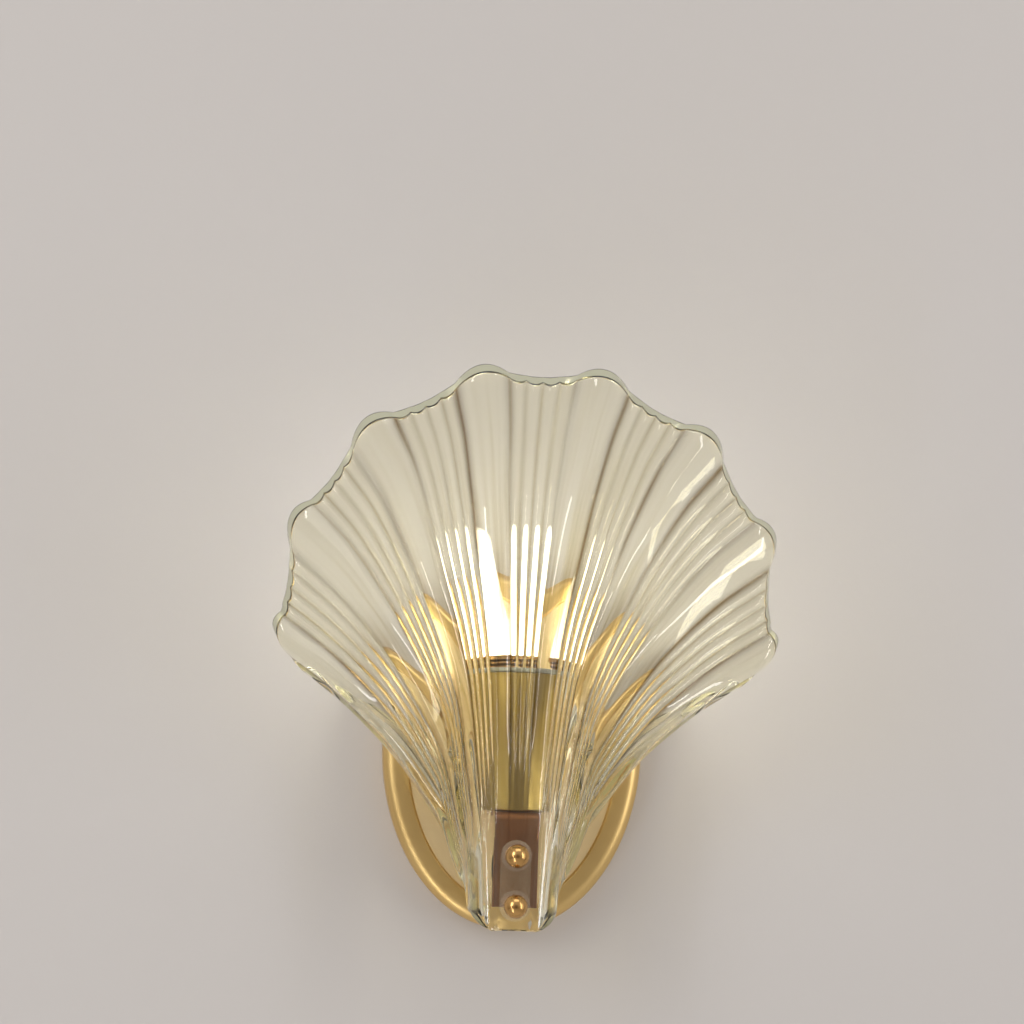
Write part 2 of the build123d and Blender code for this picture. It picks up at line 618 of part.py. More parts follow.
with BuildPart() as bulb_housing:
    with BuildSketch(upright(HOUSING_BOTTOM)):
        Circle(HOUSING_BOTTOM_RADIUS)
    with BuildSketch(upright(HOUSING_TOP)):
        Circle(HOUSING_TOP_RADIUS)
    loft()
save(bulb_housing.part, "bulb_housing")

with BuildPart() as led_column:
    with BuildSketch(upright(HOUSING_TOP)):
        RegularPolygon(COLUMN_ACROSS / 2, COLUMN_SIDES, major_radius=False)
    extrude(amount=COLUMN_LENGTH)
save(led_column.part, "led_column")

with BuildPart() as led_chips:
    for face in range(COLUMN_SIDES):
        turn = math.radians(360 / COLUMN_SIDES * (face + 0.5))
        out = Vector(math.cos(turn), math.sin(turn), 0)
        centre = Vector(0, HOLDER_AXIS, HOUSING_TOP + COLUMN_LENGTH / 2) + out * (COLUMN_ACROSS / 2)
        with BuildSketch(Plane(origin=centre, x_dir=(0, 0, 1), z_dir=out)):
            with GridLocations(CHIP_PITCH, 0, CHIP_ROWS, 1):
                Rectangle(CHIP_SIZE, CHIP_SIZE)
        extrude(amount=CHIP_THICKNESS)
save(led_chips.part, "led_chips")

with BuildPart() as bulb_cover:
    with BuildSketch(upright(HOUSING_TOP)):
        Circle(COVER_RADIUS)
    extrude(amount=COVER_LENGTH)
    fillet(bulb_cover.faces().sort_by(Axis.Z)[-1].edges(), radius=COVER_CROWN)
    offset(amount=-COVER_WALL, openings=bulb_cover.faces().sort_by(Axis.Z)[0])
save(bulb_cover.part, "bulb_cover")

# ---- wiring -------------------------------------------------------------------------------------
with BuildPart() as cable_grommet:
    with BuildSketch(facing_room(PLATE_INSIDE - GROMMET_FLANGE_THICKNESS, z=GROMMET_HEIGHT)):
        Circle(GROMMET_FLANGE)
    extrude(amount=GROMMET_FLANGE_THICKNESS)
    with BuildSketch(facing_room(PLATE_INSIDE, z=GROMMET_HEIGHT)):
        Circle(GROMMET_HOLE - CLEAR)
    extrude(amount=PLATE_WALL)
    with BuildSketch(facing_room(PLATE_FACE, z=GROMMET_HEIGHT)):
        Circle(GROMMET_FLANGE)
    extrude(amount=GROMMET_FLANGE_THICKNESS)
    with BuildSketch(facing_room(0, z=GROMMET_HEIGHT)):
        Circle(LEAD_RADIUS + CLEAR)
    extrude(amount=PLATE_DEPTH + PLATE_WALL, mode=Mode.SUBTRACT)
save(cable_grommet.part, "cable_grommet")

with BuildPart() as lamp_lead:
    with BuildLine() as lead_path:
        FilletPolyline(
            (0, -LEAD_INNER_END, GROMMET_HEIGHT),
            (0, HOLDER_AXIS, GROMMET_HEIGHT),
            (0, HOLDER_AXIS, SHELF_HEIGHT + NIPPLE_ABOVE + LEAD_ABOVE_NIPPLE),
            radius=LEAD_BEND,
        )
    with BuildSketch(Plane(origin=lead_path.line @ 0, z_dir=lead_path.line % 0)):
        Circle(LEAD_RADIUS)
    sweep(path=lead_path.line)
save(lamp_lead.part, "lamp_lead")

with BuildPart() as terminal_block:
    with BuildSketch(facing_room(BAR_THICKNESS, z=BLOCK_CENTRE)):
        RectangleRounded(BLOCK_WIDTH, BLOCK_HEIGHT, 2)
    extrude(amount=BLOCK_DEPTH)
    with BuildSketch(Plane.XY.offset(BLOCK_CENTRE - BLOCK_HEIGHT / 2)):
        with Locations((0, -BAR_THICKNESS - BLOCK_DEPTH / 2)):
            with GridLocations(WIRE_SPACING * 1.8, 0, BLOCK_POLES, 1):
                Circle(WIRE_RADIUS + LOOSE)
    extrude(amount=BLOCK_HEIGHT, mode=Mode.SUBTRACT)
save(terminal_block.part, "terminal_block")

with BuildPart() as terminal_screws:
    with BuildSketch(facing_room(BAR_THICKNESS + BLOCK_DEPTH, z=BLOCK_CENTRE)):
        with GridLocations(WIRE_SPACING * 1.8, BLOCK_HEIGHT / 2, BLOCK_POLES, 2):
            Circle(TERMINAL_RADIUS)
    extrude(amount=TERMINAL_HEIGHT)
save(terminal_screws.part, "terminal_screws")

# Two insulated wires run from the terminal block down to the lamp lead.
with BuildPart() as inner_wires:
    for side in (-1, 1):
        with BuildLine() as wire_path:
            FilletPolyline(
                (side * WIRE_SPACING * 1.8, -BAR_THICKNESS - BLOCK_DEPTH / 2, BLOCK_CENTRE - BLOCK_HEIGHT / 2 + WIRE_GRIP),
                (side * WIRE_SPACING * 1.8, -BAR_THICKNESS - BLOCK_DEPTH / 2, BLOCK_CENTRE - 2 * BLOCK_HEIGHT),
                (side * (LEAD_RADIUS + WIRE_RADIUS + CLEAR), -LEAD_INNER_END, GROMMET_HEIGHT + 3 * BLOCK_HEIGHT),
                (side * (LEAD_RADIUS + WIRE_RADIUS + CLEAR), -LEAD_INNER_END - WIRE_RADIUS, GROMMET_HEIGHT),
                radius=WIRE_BEND,
            )
        with BuildSketch(Plane(origin=wire_path.line @ 0, z_dir=wire_path.line % 0)):
            Circle(WIRE_RADIUS)
        sweep(path=wire_path.line)
save(inner_wires.part, "inner_wires")
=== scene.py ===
# %% [markdown]
# # A shell wall sconce
# A wall light with a big pressed glass shell in front of a brass wall plate. Two ball nuts hold
# the shell by its neck to a bent strip, and a bulb stands upright behind the ribs. The frame
# holds the sizes and the fastenings, and this script gives each piece its surface.

# %% Load the frame
import math

import bmesh
import bpy
import numpy as np
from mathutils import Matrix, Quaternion, Vector


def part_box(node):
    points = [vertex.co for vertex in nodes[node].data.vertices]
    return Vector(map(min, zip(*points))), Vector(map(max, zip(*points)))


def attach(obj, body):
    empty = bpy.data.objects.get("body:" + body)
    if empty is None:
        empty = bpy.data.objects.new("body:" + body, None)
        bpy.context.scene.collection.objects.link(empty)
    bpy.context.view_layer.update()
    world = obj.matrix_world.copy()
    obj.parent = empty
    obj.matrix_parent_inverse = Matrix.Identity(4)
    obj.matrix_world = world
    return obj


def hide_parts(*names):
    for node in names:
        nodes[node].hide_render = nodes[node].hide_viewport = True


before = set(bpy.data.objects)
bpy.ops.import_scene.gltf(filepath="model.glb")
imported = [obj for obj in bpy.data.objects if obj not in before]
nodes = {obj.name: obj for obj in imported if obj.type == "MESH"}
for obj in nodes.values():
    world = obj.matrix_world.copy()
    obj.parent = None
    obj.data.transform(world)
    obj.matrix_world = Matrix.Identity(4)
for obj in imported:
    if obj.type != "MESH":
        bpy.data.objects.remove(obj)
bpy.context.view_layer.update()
MM = 0.001

# %% [markdown]
# ## Helpers for nodes and colours
# Every shader and every Geometry Nodes tree is built with one function, which adds a node, gives
# it its settings, and fills its inputs. Colours are written as they look on a screen and turned
# to the linear values that the renderer works with.

# %% One function adds any node
def fill(tree, node, inputs):
    """Give inputs a value or a link. A node in place of a socket stands for its first output."""
    for name, value in inputs.items():
        if isinstance(value, bpy.types.Node):
            value = value.outputs[0]
        if isinstance(value, bpy.types.NodeSocket):
            tree.links.new(value, node.inputs[name])
        else:
            node.inputs[name].default_value = value


def put(tree, kind, inputs=(), **settings):
    """Add a node of any kind, with its settings and inputs."""
    node = tree.nodes.new(kind)
    for name, value in settings.items():
        setattr(node, name, value)
    fill(tree, node, dict(inputs))
    return node


SMOOTH = {"interpolation_type": "SMOOTHSTEP"}


def linear(hex_colour):
    """A screen colour such as C9A36A as the four linear numbers of a socket."""
    parts = [int(hex_colour[i : i + 2], 16) / 255 for i in (0, 2, 4)]
    return (*[c / 12.92 if c <= 0.04045 else ((c + 0.055) / 1.055) ** 2.4 for c in parts], 1.0)


def new_material(name):
    """A material with one Principled shader joined to its output: material, tree, shader, out."""
    material = bpy.data.materials.new(name)
    material.use_nodes = True
    tree = material.node_tree
    tree.nodes.clear()
    shader = put(tree, "ShaderNodeBsdfPrincipled")
    return material, tree, shader, put(tree, "ShaderNodeOutputMaterial", {"Surface": shader})


def waves(tree, width_mm, detail, strength, height):
    """Noise of one width over the piece, and the relief that it gives."""
    where = put(tree, "ShaderNodeTexCoord").outputs["Object"]
    scale = 1 / (width_mm * MM)
    noise = put(tree, "ShaderNodeTexNoise", {"Vector": where, "Scale": scale, "Detail": detail})
    relief = {"Height": noise, "Strength": strength, "Distance": height}
    return noise, put(tree, "ShaderNodeBump", relief)


# %% [markdown]
# ## Helpers for meshes
# Most of the metal on a lamp is turned on a lathe, so one helper spins an outline about an axis.
# Smooth shading with a sharp-edge angle keeps turned corners crisp.

# %% Points and faces to an object
def new_object(name, data):
    made = bpy.data.objects.new(name, data)
    bpy.context.scene.collection.objects.link(made)
    return made


def make_piece(name, points, faces, material, body, slot, stands_for, sharp=35.0):
    mesh = bpy.data.meshes.new(name)
    mesh.from_pydata([tuple(p) for p in points], [], [tuple(f) for f in faces])
    return finish_piece(name, mesh, material, body, stands_for, sharp)


def finish_piece(name, mesh, material, body, stands_for, sharp=35.0):
    """Clean the mesh, turn its faces outwards, and put it on its body."""
    work = bmesh.new()
    work.from_mesh(mesh)
    bmesh.ops.remove_doubles(work, verts=work.verts, dist=1e-7)
    bmesh.ops.recalc_face_normals(work, faces=work.faces)
    work.to_mesh(mesh)
    work.free()
    mesh.shade_smooth()
    mesh.set_sharp_from_angle(angle=math.radians(sharp))
    if not mesh.materials:
        mesh.materials.append(material)
    piece = new_object(name, mesh)
    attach(piece, body)
    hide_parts(stands_for)
    return piece


def turned(outline, steps=96, axis=(0.0, 0.0, 0.0), way="Z"):
    """Points and faces of an outline, (radius, distance) in millimetres, spun about an axis."""
    points, faces = [], []
    count = len(outline)
    for step in range(steps):
        turn = 2 * math.pi * step / steps
        c, s = math.cos(turn), math.sin(turn)
        for radius, along in outline:
            if way == "Z":
                spot = (axis[0] + radius * c, axis[1] + radius * s, axis[2] + along)
            else:
                spot = (axis[0] + radius * c, axis[1] - along, axis[2] + radius * s)
            points.append([v * MM for v in spot])
    for step in range(steps):
        near, far = step * count, (step + 1) % steps * count
        for i in range(count):
            j = (i + 1) % count
            faces.append((near + i, near + j, far + j, far + i))
    return points, faces


def rounded(outline, radii, steps=4):
    """A closed outline with each corner turned into an arc of its own radius."""
    made = []
    count = len(outline)
    for i in range(count):
        corner = np.array(outline[i], float)
        before, after = np.array(outline[i - 1], float), np.array(outline[(i + 1) % count], float)
        radius = radii[i] if isinstance(radii, (list, tuple)) else radii
        if not radius:
            made.append(tuple(corner))
            continue
        into = (before - corner) / np.linalg.norm(before - corner)
        out = (after - corner) / np.linalg.norm(after - corner)
        half = math.acos(max(-1.0, min(1.0, float(into @ out)))) / 2
        reach = radius / math.tan(half)
        centre = corner + (into + out) / np.linalg.norm(into + out) * radius / math.sin(half)
        first, last = corner + into * reach - centre, corner + out * reach - centre
        sweep = math.pi - 2 * half
        for k in range(steps + 1):
            t = k / steps
            spot = (first * math.sin((1 - t) * sweep) + last * math.sin(t * sweep)) / math.sin(sweep)
            made.append(tuple(centre + spot))
    return made


# %% [markdown]
# ## Camera
# The lamp hangs on a wall and is seen from the height of its wall plate, a little from its left.
# The camera stands 1.5 metres away and is tipped up a little, which leaves wall above the lamp.

# %% Place the camera
CAMERA_PLACE = Vector((-0.098, -1.52, 0.0))
CAMERA_AIM = Vector((-0.0045, -0.02, 0.118))
CAMERA_ROLL = -2.0
MM_PER_PIXEL, PICTURE_PIXELS = 0.504, 1024
SENSOR_MM = 36.0
SIGHT_LIMIT = 20

lens_data = bpy.data.cameras.new("camera")
camera = new_object("camera", lens_data)
bpy.context.scene.camera = camera
camera.location = CAMERA_PLACE
look = CAMERA_AIM - CAMERA_PLACE
camera.rotation_mode = "QUATERNION"
roll = Quaternion(look, math.radians(CAMERA_ROLL))
camera.rotation_quaternion = roll @ look.to_track_quat("-Z", "Y")
lens_data.sensor_width = SENSOR_MM
lens_data.lens = SENSOR_MM / (MM_PER_PIXEL * MM * PICTURE_PIXELS / look.length)
lens_data.clip_end = SIGHT_LIMIT
print("lens", round(lens_data.lens, 1), "mm")

# %% [markdown]
# ## The room
# A sconce needs a wall behind it, here warm light grey paint with a fine roller texture, and a
# pale floor well below. Neither is part of the lamp. The wall is clear when seen from behind,
# and open behind the hollow of the plate, where it is hidden from the front, so that light
# reaches the back of the lamp.

# %% Wall and floor
PAINT_ROUGHNESS = 0.85
PAINT_RELIEF, PAINT_HEIGHT = 0.08, 0.3 * MM


def painted_surface(name, colour, grain_mm):
    """Matt paint, clear when seen from behind."""
    material, tree, shader, out = new_material(name)
    _, bump = waves(tree, grain_mm, 4.0, PAINT_RELIEF, PAINT_HEIGHT)
    fill(tree, shader, {"Base Color": linear(colour), "Roughness": PAINT_ROUGHNESS, "Normal": bump})
    behind = put(tree, "ShaderNodeNewGeometry").outputs["Backfacing"]
    clear = put(tree, "ShaderNodeBsdfTransparent")
    one_way = put(tree, "ShaderNodeMixShader", {0: behind, 1: shader, 2: clear})
    fill(tree, out, {"Surface": one_way})
    return material


def flat_stage(name, corners, faces, material):
    mesh = bpy.data.meshes.new(name)
    mesh.from_pydata(corners, [], faces)
    mesh.materials.append(material)
    new_object(name, mesh)


WALL_COLOUR, WALL_GRAIN_MM = "C8C3C0", 1.5
FLOOR_COLOUR, FLOOR_GRAIN_MM = "D8D4CF", 4.0
WALL_FACE, WALL_SIDE, WALL_TOP = 0.4 * MM, 3.0, 2.0
FLOOR_HEIGHT, FLOOR_DEPTH = -1.2, 4.0
HIDDEN_BY_RIM = 4 * MM
WALL_RAYS = 64
plate_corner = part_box("backplate")[1]
hole_x, hole_z = plate_corner.x - HIDDEN_BY_RIM, plate_corner.z - HIDDEN_BY_RIM
inner_edge, outer_edge = [], []
for k in range(WALL_RAYS):
    turn = 2 * math.pi * k / WALL_RAYS
    c, s = math.cos(turn), math.sin(turn)
    reach = WALL_SIDE / max(abs(c), abs(s))
    inner_edge.append((hole_x * c, WALL_FACE, hole_z * s))
    outer_edge.append((reach * c, WALL_FACE, min(max(reach * s, FLOOR_HEIGHT), WALL_TOP)))
wall_faces = [
    (k, WALL_RAYS + k, WALL_RAYS + (k + 1) % WALL_RAYS, (k + 1) % WALL_RAYS) for k in range(WALL_RAYS)
]
wall_paint = painted_surface("wall_paint", WALL_COLOUR, WALL_GRAIN_MM)
flat_stage("wall", inner_edge + outer_edge, wall_faces, wall_paint)
floor_spots = (
    (-WALL_SIDE, WALL_FACE), (-WALL_SIDE, -FLOOR_DEPTH), (WALL_SIDE, -FLOOR_DEPTH),
    (WALL_SIDE, WALL_FACE),
)
floor_paint = painted_surface("floor_paint", FLOOR_COLOUR, FLOOR_GRAIN_MM)
flat_stage("floor", [(x, y, FLOOR_HEIGHT) for x, y in floor_spots], [(0, 1, 2, 3)], floor_paint)
print("wall", WALL_RAYS, "faces, floor at", FLOOR_HEIGHT, "m")

# %% [markdown]
# ## Light
# Large soft lamps to the left, to the right and above give brass and glass long, soft
# reflections. The world is a room seen out of focus: pale all round, lighter at the ceiling and
# darker at its far end, so that polished metal and thick glass have something to mirror.

# %% Soft lamps, and three narrow panes that draw bright lines along the ribs
LAMP_AIM = Vector((0, -0.05, 0.03))
LAMPS = [
    # name, place, width, height, watts
    ("left_window", (-1.4, -1.5, 0.9), 0.9, 1.2, 9.5),
    ("right_window", (1.5, -0.85, 0.05), 0.8, 1.4, 3),
    ("ceiling_glow", (0.1, -0.9, 1.7), 1.4, 0.8, 6),
    ("left_pane", (-1.05, -1.05, 0.3), 0.04, 1.3, 2.2),
    ("right_pane", (1.05, -0.95, 0.2), 0.12, 1.2, 3),
    ("low_pane", (-0.62, -0.95, -0.8), 0.14, 0.8, 2.2),
]
for name, place, width, height, watts in LAMPS:
    data = bpy.data.lights.new(name, "AREA")
    data.shape, data.size, data.size_y, data.energy = "RECTANGLE", width, height, watts
    lamp = new_object(name, data)
    lamp.location = place
    lamp.rotation_mode = "QUATERNION"
    lamp.rotation_quaternion = (LAMP_AIM - Vector(place)).to_track_quat("-Z", "Y")
print(len(LAMPS), "soft lamps")

# %% The room, as polished metal mirrors it
WALLS_LOW, WALLS_HIGH, FAR_END = "B9AC9C", "FFFFFF", "A0958B"
ROOM_LIGHT = 0.6
world = bpy.data.worlds.new("room")
bpy.context.scene.world = world
world.use_nodes = True
air = world.node_tree
air.nodes.clear()
facing = put(air, "ShaderNodeTexCoord").outputs["Generated"]
facing = put(air, "ShaderNodeSeparateXYZ", {0: facing}).outputs
far_end = put(
    air, "ShaderNodeMapRange", {"Value": facing["Y"], "From Min": -0.99, "From Max": -0.9}, **SMOOTH
)
heights = put(
    air, "ShaderNodeMapRange", {"Value": facing["Z"], "From Min": -0.6, "From Max": 0.7}, **SMOOTH
)
walls = put(
    air, "ShaderNodeMix", {"Factor": heights, "A": linear(WALLS_LOW), "B": linear(WALLS_HIGH)},
    data_type="RGBA",
)
depth = put(
    air, "ShaderNodeMix", {"Factor": far_end, "A": linear(FAR_END), "B": walls.outputs["Result"]},
    data_type="RGBA",
)
room = put(air, "ShaderNodeBackground", {"Color": depth.outputs["Result"], "Strength": ROOM_LIGHT})
put(air, "ShaderNodeOutputWorld", {"Surface": room})
bpy.context.scene.view_settings.view_transform = "Standard"
print("room", len(air.nodes), "nodes")

# %% [markdown]
# ## Brass, satin and polished
# Lamp brass is a copper and zinc alloy. The wall plate and the cup are brushed: fine parallel
# scratches spread the highlight. The ball nuts are polished on a buff and mirror the room. The
# strip behind the neck is the same brass, painted dark brown for the shade it sits in behind the glass.

# %% Metals
SCRATCH_DEPTH, TARNISH_MM = 0.02 * MM, 22


def brushed_metal(name, colour, dark, rough, spread, grain, strength):
    """Metal scratched one way; grain is the scratches per millimetre along X, Y and Z."""
    material, tree, shader, _ = new_material(name)
    where = put(tree, "ShaderNodeTexCoord").outputs["Object"]
    stretch = put(tree, "ShaderNodeMapping", {"Vector": where, "Scale": [g / MM for g in grain]})
    lines = put(
        tree, "ShaderNodeTexNoise", {"Vector": stretch, "Scale": 1.0, "Detail": 3.0, "Roughness": 0.6}
    )
    cloud = put(
        tree, "ShaderNodeTexNoise", {"Vector": where, "Scale": 1 / (TARNISH_MM * MM), "Detail": 2.0}
    )
    tint = put(
        tree, "ShaderNodeMix", {"Factor": cloud, "A": linear(colour), "B": linear(dark)},
        data_type="RGBA",
    )
    shine = put(
        tree, "ShaderNodeMapRange",
        {
            "Value": lines, "From Min": 0.3, "From Max": 0.7, "To Min": rough - spread,
            "To Max": rough + spread,
        },
    )
    relief = put(
        tree, "ShaderNodeBump", {"Height": lines, "Strength": strength, "Distance": SCRATCH_DEPTH}
    )
    fill(
        tree, shader,
        {"Base Color": tint.outputs["Result"], "Metallic": 1.0, "Roughness": shine, "Normal": relief},
    )
    return material


# name, colour, darker colour, roughness, its spread, scratches on X, Y and Z, their depth
METALS = (
    # warm, with a soft, long highlight
    ("brushed_lacquered_brass", "EACB8C", "DEBB7A", 0.38, 0.06, (0.15, 2.0, 3.0), 0.5),
    # paler and duller, nearly white where it is lit
    ("pale_brushed_brass", "F2DDB4", "EBD2A4", 0.5, 0.06, (0.1, 1.0, 2.5), 0.6),
    # its rings stretch a highlight upright
    ("turned_brushed_brass", "B29C62", "99824A", 0.32, 0.04, (0.1, 0.1, 9.0), 0.25),
    # mirrors the room, darker and redder
    ("buffed_brass", "D2A86C", "BE9258", 0.2, 0.04, (0.5, 0.5, 0.5), 0.15),
    # painted shade: dark brown for the strip in shade behind the glass, with faint upright streaks
    ("shade_painted_brass", "8E6246", "744C32", 0.42, 0.06, (4.0, 4.0, 0.2), 0.5),
    # cool grey, evenly blurred
    ("zinc_plated_steel", "B4B4B0", "9C9D9C", 0.36, 0.08, (1.0, 1.0, 1.0), 0.4),
)
satin_brass, face_brass, cup_brass, polished_brass, shaded_brass, zinc_steel = (
    brushed_metal(*row) for row in METALS
)
print(len(METALS), "metals")

# %% [markdown]
# ## Plastics, rubber and glazed ceramic
# The holder's body is glazed white ceramic, which is glossy. The terminal block, the LED board
# and the wires are plastic and the grommet is rubber, which are duller. All have faint waves that
# break up their highlights. The silicone between metal and glass is so clear that it hardly shows.

# %% Non-metals
WAVE_HEIGHT, SHEEN_SPREAD = 0.05 * MM, 0.2


def moulded(name, colour, rough, wave_mm, depth, coat=0.0, cover=1.0):
    """Plastic, rubber or ceramic with waves of one width; cover is how much it hides."""
    material, tree, shader, _ = new_material(name)
    wave, relief = waves(tree, wave_mm, 3.0, depth, WAVE_HEIGHT)
    sheen = put(
        tree, "ShaderNodeMapRange",
        {"Value": wave, "To Min": rough * (1 - SHEEN_SPREAD), "To Max": rough * (1 + SHEEN_SPREAD)},
    )
    fill(tree, shader, {"Base Color": linear(colour), "Roughness": sheen, "Normal": relief})
    fill(tree, shader, {"Coat Weight": coat, "Alpha": cover})
    return material


glazed_white = moulded("glazed_ceramic", "EDEAE2", 0.25, 6.0, 0.3, coat=0.6)  # glossy, with soft waves
board_white = moulded("solder_masked_board", "F2EFE4", 0.5, 1.0, 0.3)  # matt white between the LEDs
block_white = moulded("moulded_polyamide", "E4E2DC", 0.5, 1.0, 0.5)  # dull white
silicone = moulded("clear_silicone", "EDE0D2", 0.2, 4.0, 0.2, cover=0.06)  # a faint warm veil
black_rubber = moulded("black_rubber", "1E1C1B", 0.6, 0.8, 0.6)  # near black, hardly any highlight
lead_rubber = moulded("lead_cover", "262322", 0.5, 1.2, 0.5)  # dark and dull
wire_brown = moulded("brown_pvc", "5A3A26", 0.45, 1.2, 0.3)  # brown with a waxy highlight
print("non-metals from", glazed_white.name, "to", wire_brown.name)

# %% [markdown]
# ## Lit LED lenses
# Each LED is a tiny block with yellow phosphor that glows white. The board behind it takes a
# faint painted glow that stands in for the light of its own LEDs.

# %% The glow
LENS_GLOW, PAINTED_BOARD_GLOW = 300.0, 3.0
led_glow, tree, shader, _ = new_material("lit_phosphor")  # white points of light
fill(tree, shader, {"Base Color": linear("FFF3C4"), "Roughness": 0.5})
fill(tree, shader, {"Emission Color": linear("F6F7F0"), "Emission Strength": LENS_GLOW})
# Painted glow: the board's white shines as if lit by its LEDs.
board_tree = board_white.node_tree
painted_board_glow = {"Emission Color": linear("FBF9E8"), "Emission Strength": PAINTED_BOARD_GLOW}
fill(board_tree, board_tree.nodes["Principled BSDF"], painted_board_glow)
print("glow", LENS_GLOW, PAINTED_BOARD_GLOW)

# %% [markdown]
# ## Clear and amber glass
# The shell is pressed soda-lime glass with a trace of amber. Glass bends light with an index of
# 1.5. Lamps shine through it without caustics, so rays that look for a lamp pass a tinted clear
# surface, which keeps the inside of the shell bright.

# %% Glass
GLASS_INDEX, COAT, COAT_ROUGHNESS = 1.5, 0.7, 0.02
GLASS_WAVE_MM, GLASS_RELIEF, GLASS_WAVE_HEIGHT = 9.0, 0.1, 0.3 * MM


def clear_glass(name, colour, shade, rough, clarity=1.0):
    """Glass with faint waves. shade is what it takes from a lamp's light."""
    material, tree, shader, out = new_material(name)
    _, relief = waves(tree, GLASS_WAVE_MM, 2.0, GLASS_RELIEF, GLASS_WAVE_HEIGHT)
    fill(tree, shader, {"Base Color": linear(colour), "Roughness": rough, "Normal": relief})
    fill(tree, shader, {"IOR": GLASS_INDEX, "Transmission Weight": clarity})
    fill(tree, shader, {"Coat Weight": COAT, "Coat Roughness": COAT_ROUGHNESS})
    passing = put(tree, "ShaderNodeBsdfTransparent", {"Color": linear(shade)})
    rays = put(tree, "ShaderNodeLightPath")
    choice = put(tree, "ShaderNodeMixShader", {0: rays.outputs["Is Shadow Ray"], 1: shader, 2: passing})
    fill(tree, out, {"Surface": choice})
    return material, tree, shader, out


# A faint painted glow on the cover stands in for a haze on its inside that catches the light of the
# LEDs.
COVER_PAINTED_GLOW = 0.5
cover_glass, tree, shader, _ = clear_glass("bulb_cover_glass", "FFFFFF", "FBFBF8", 0.02)
fill(tree, shader, {"Emission Color": linear("FBFCF4"), "Emission Strength": COVER_PAINTED_GLOW})
# The rim lets only half the light through and is pale, a painted brightness that stands in for the
# light its clear end face catches; it shows as a pale line round the shell.
edge_glass = clear_glass("fire_polished_edge", "FAF8D6", "F6F5E2", 0.06, clarity=0.5)[0]
print("glass", cover_glass.name, edge_glass.name)

# %% [markdown]
# ## Painted shade in the creases
# The creases between ribs, and more darkly the edges of the lobes, take a painted shade in the
# surface colour that stands in for the dark lines which bent light draws there. Pressing also
# leaves fine streaks, called cords, that follow the flow of the glass, painted in the same colour.
# The pattern reads the numbers that the ribs are pressed with: degrees across, share of the
# length along, and how near a crease or a lobe's edge is.

# %% Amber glass
BASE_TINT, CORD_TINT, CREASE_PAINTED_SHADE, LOBE_EDGE_PAINTED_SHADE = map(
    linear, ("FEFEF9", "C0AF6E", "BAA676", "5E431C")
)
SOAK_TINT, SOAK_DENSITY = linear("ECE5B0"), 34.0
amber_glass, tree, shader, out = clear_glass("pressed_amber_glass", "FFFFFF", "F6F2E6", 0.015)
across_turn, along_rib, crease, lobe_edge = (
    put(tree, "ShaderNodeAttribute", attribute_name=name).outputs["Fac"] for name in (
        "across", "along", "crease", "lobe_edge"
    )
)
flow = put(tree, "ShaderNodeCombineXYZ", {"X": across_turn, "Y": along_rib}).outputs[0]
fine_flow = put(tree, "ShaderNodeMapping", {"Vector": flow, "Scale": (0.55, 2.2, 1.0)}).outputs[0]
cords = put(
    tree, "ShaderNodeTexNoise", {"Vector": fine_flow, "Scale": 1.0, "Detail": 3.0, "Distortion": 0.3}
)
cords = put(tree, "ShaderNodeMapRange", {"Value": cords, "From Min": 0.45, "From Max": 0.68}, **SMOOTH)
wide_flow = put(tree, "ShaderNodeMapping", {"Vector": flow, "Scale": (0.12, 2.0, 1.0)}).outputs[0]
pools = put(tree, "ShaderNodeTexNoise", {"Vector": wide_flow, "Scale": 1.0, "Detail": 1.0})
pools = put(
    tree, "ShaderNodeMapRange", {"Value": pools, "From Min": 0.4, "From Max": 0.6, "To Min": 0.3},
    **SMOOTH,
)
# Cords are strongest in the neck and stop above the flat seat.
neck = put(
    tree, "ShaderNodeMapRange",
    {"Value": along_rib, "From Min": 0.95, "From Max": 0.35, "To Min": 0.12, "To Max": 0.95},
)
above_seat = put(
    tree, "ShaderNodeMapRange", {"Value": along_rib, "From Min": 0.26, "From Max": 0.42}, **SMOOTH
)
neck = put(tree, "ShaderNodeMath", {0: neck, 1: above_seat}, operation="MULTIPLY")
cord_share = put(tree, "ShaderNodeMath", {0: cords, 1: neck}, operation="MULTIPLY")
pooled = put(tree, "ShaderNodeMapRange", {"Value": pools, "To Min": 0.25, "To Max": 0.75})
crease_shade_share = put(tree, "ShaderNodeMath", {0: crease, 1: pooled}, operation="MULTIPLY")
lobe_edge_shade_share = put(tree, "ShaderNodeMath", {0: lobe_edge, 1: pools}, operation="MULTIPLY")
# Painted shade: the creases and, in darker brown, the lobes' edges are mixed into the surface colour,
# after the cords.
colour = BASE_TINT
for share, tint in ((cord_share, CORD_TINT), (crease_shade_share, CREASE_PAINTED_SHADE), (lobe_edge_shade_share, LOBE_EDGE_PAINTED_SHADE)):
    colour = put(
        tree, "ShaderNodeMix", {"Factor": share, "A": colour, "B": tint}, data_type="RGBA"
    ).outputs["Result"]
soak = put(tree, "ShaderNodeVolumeAbsorption", {"Color": SOAK_TINT, "Density": SOAK_DENSITY})
fill(tree, shader, {"Base Color": colour})
fill(tree, out, {"Volume": soak})
print("amber glass", len(tree.nodes), "nodes")

# %% [markdown]
# ## The shell's blank
# The shell is the piece that makes the lamp. A presser drops hot glass in a ribbed mould, so it
# is described the same way: first a smooth blank, then the ribs. The blank is a sheet of rows
# from the tongue to the rim and columns across. Each row is a flattened arch whose size is read
# smoothly from a short table of sections.

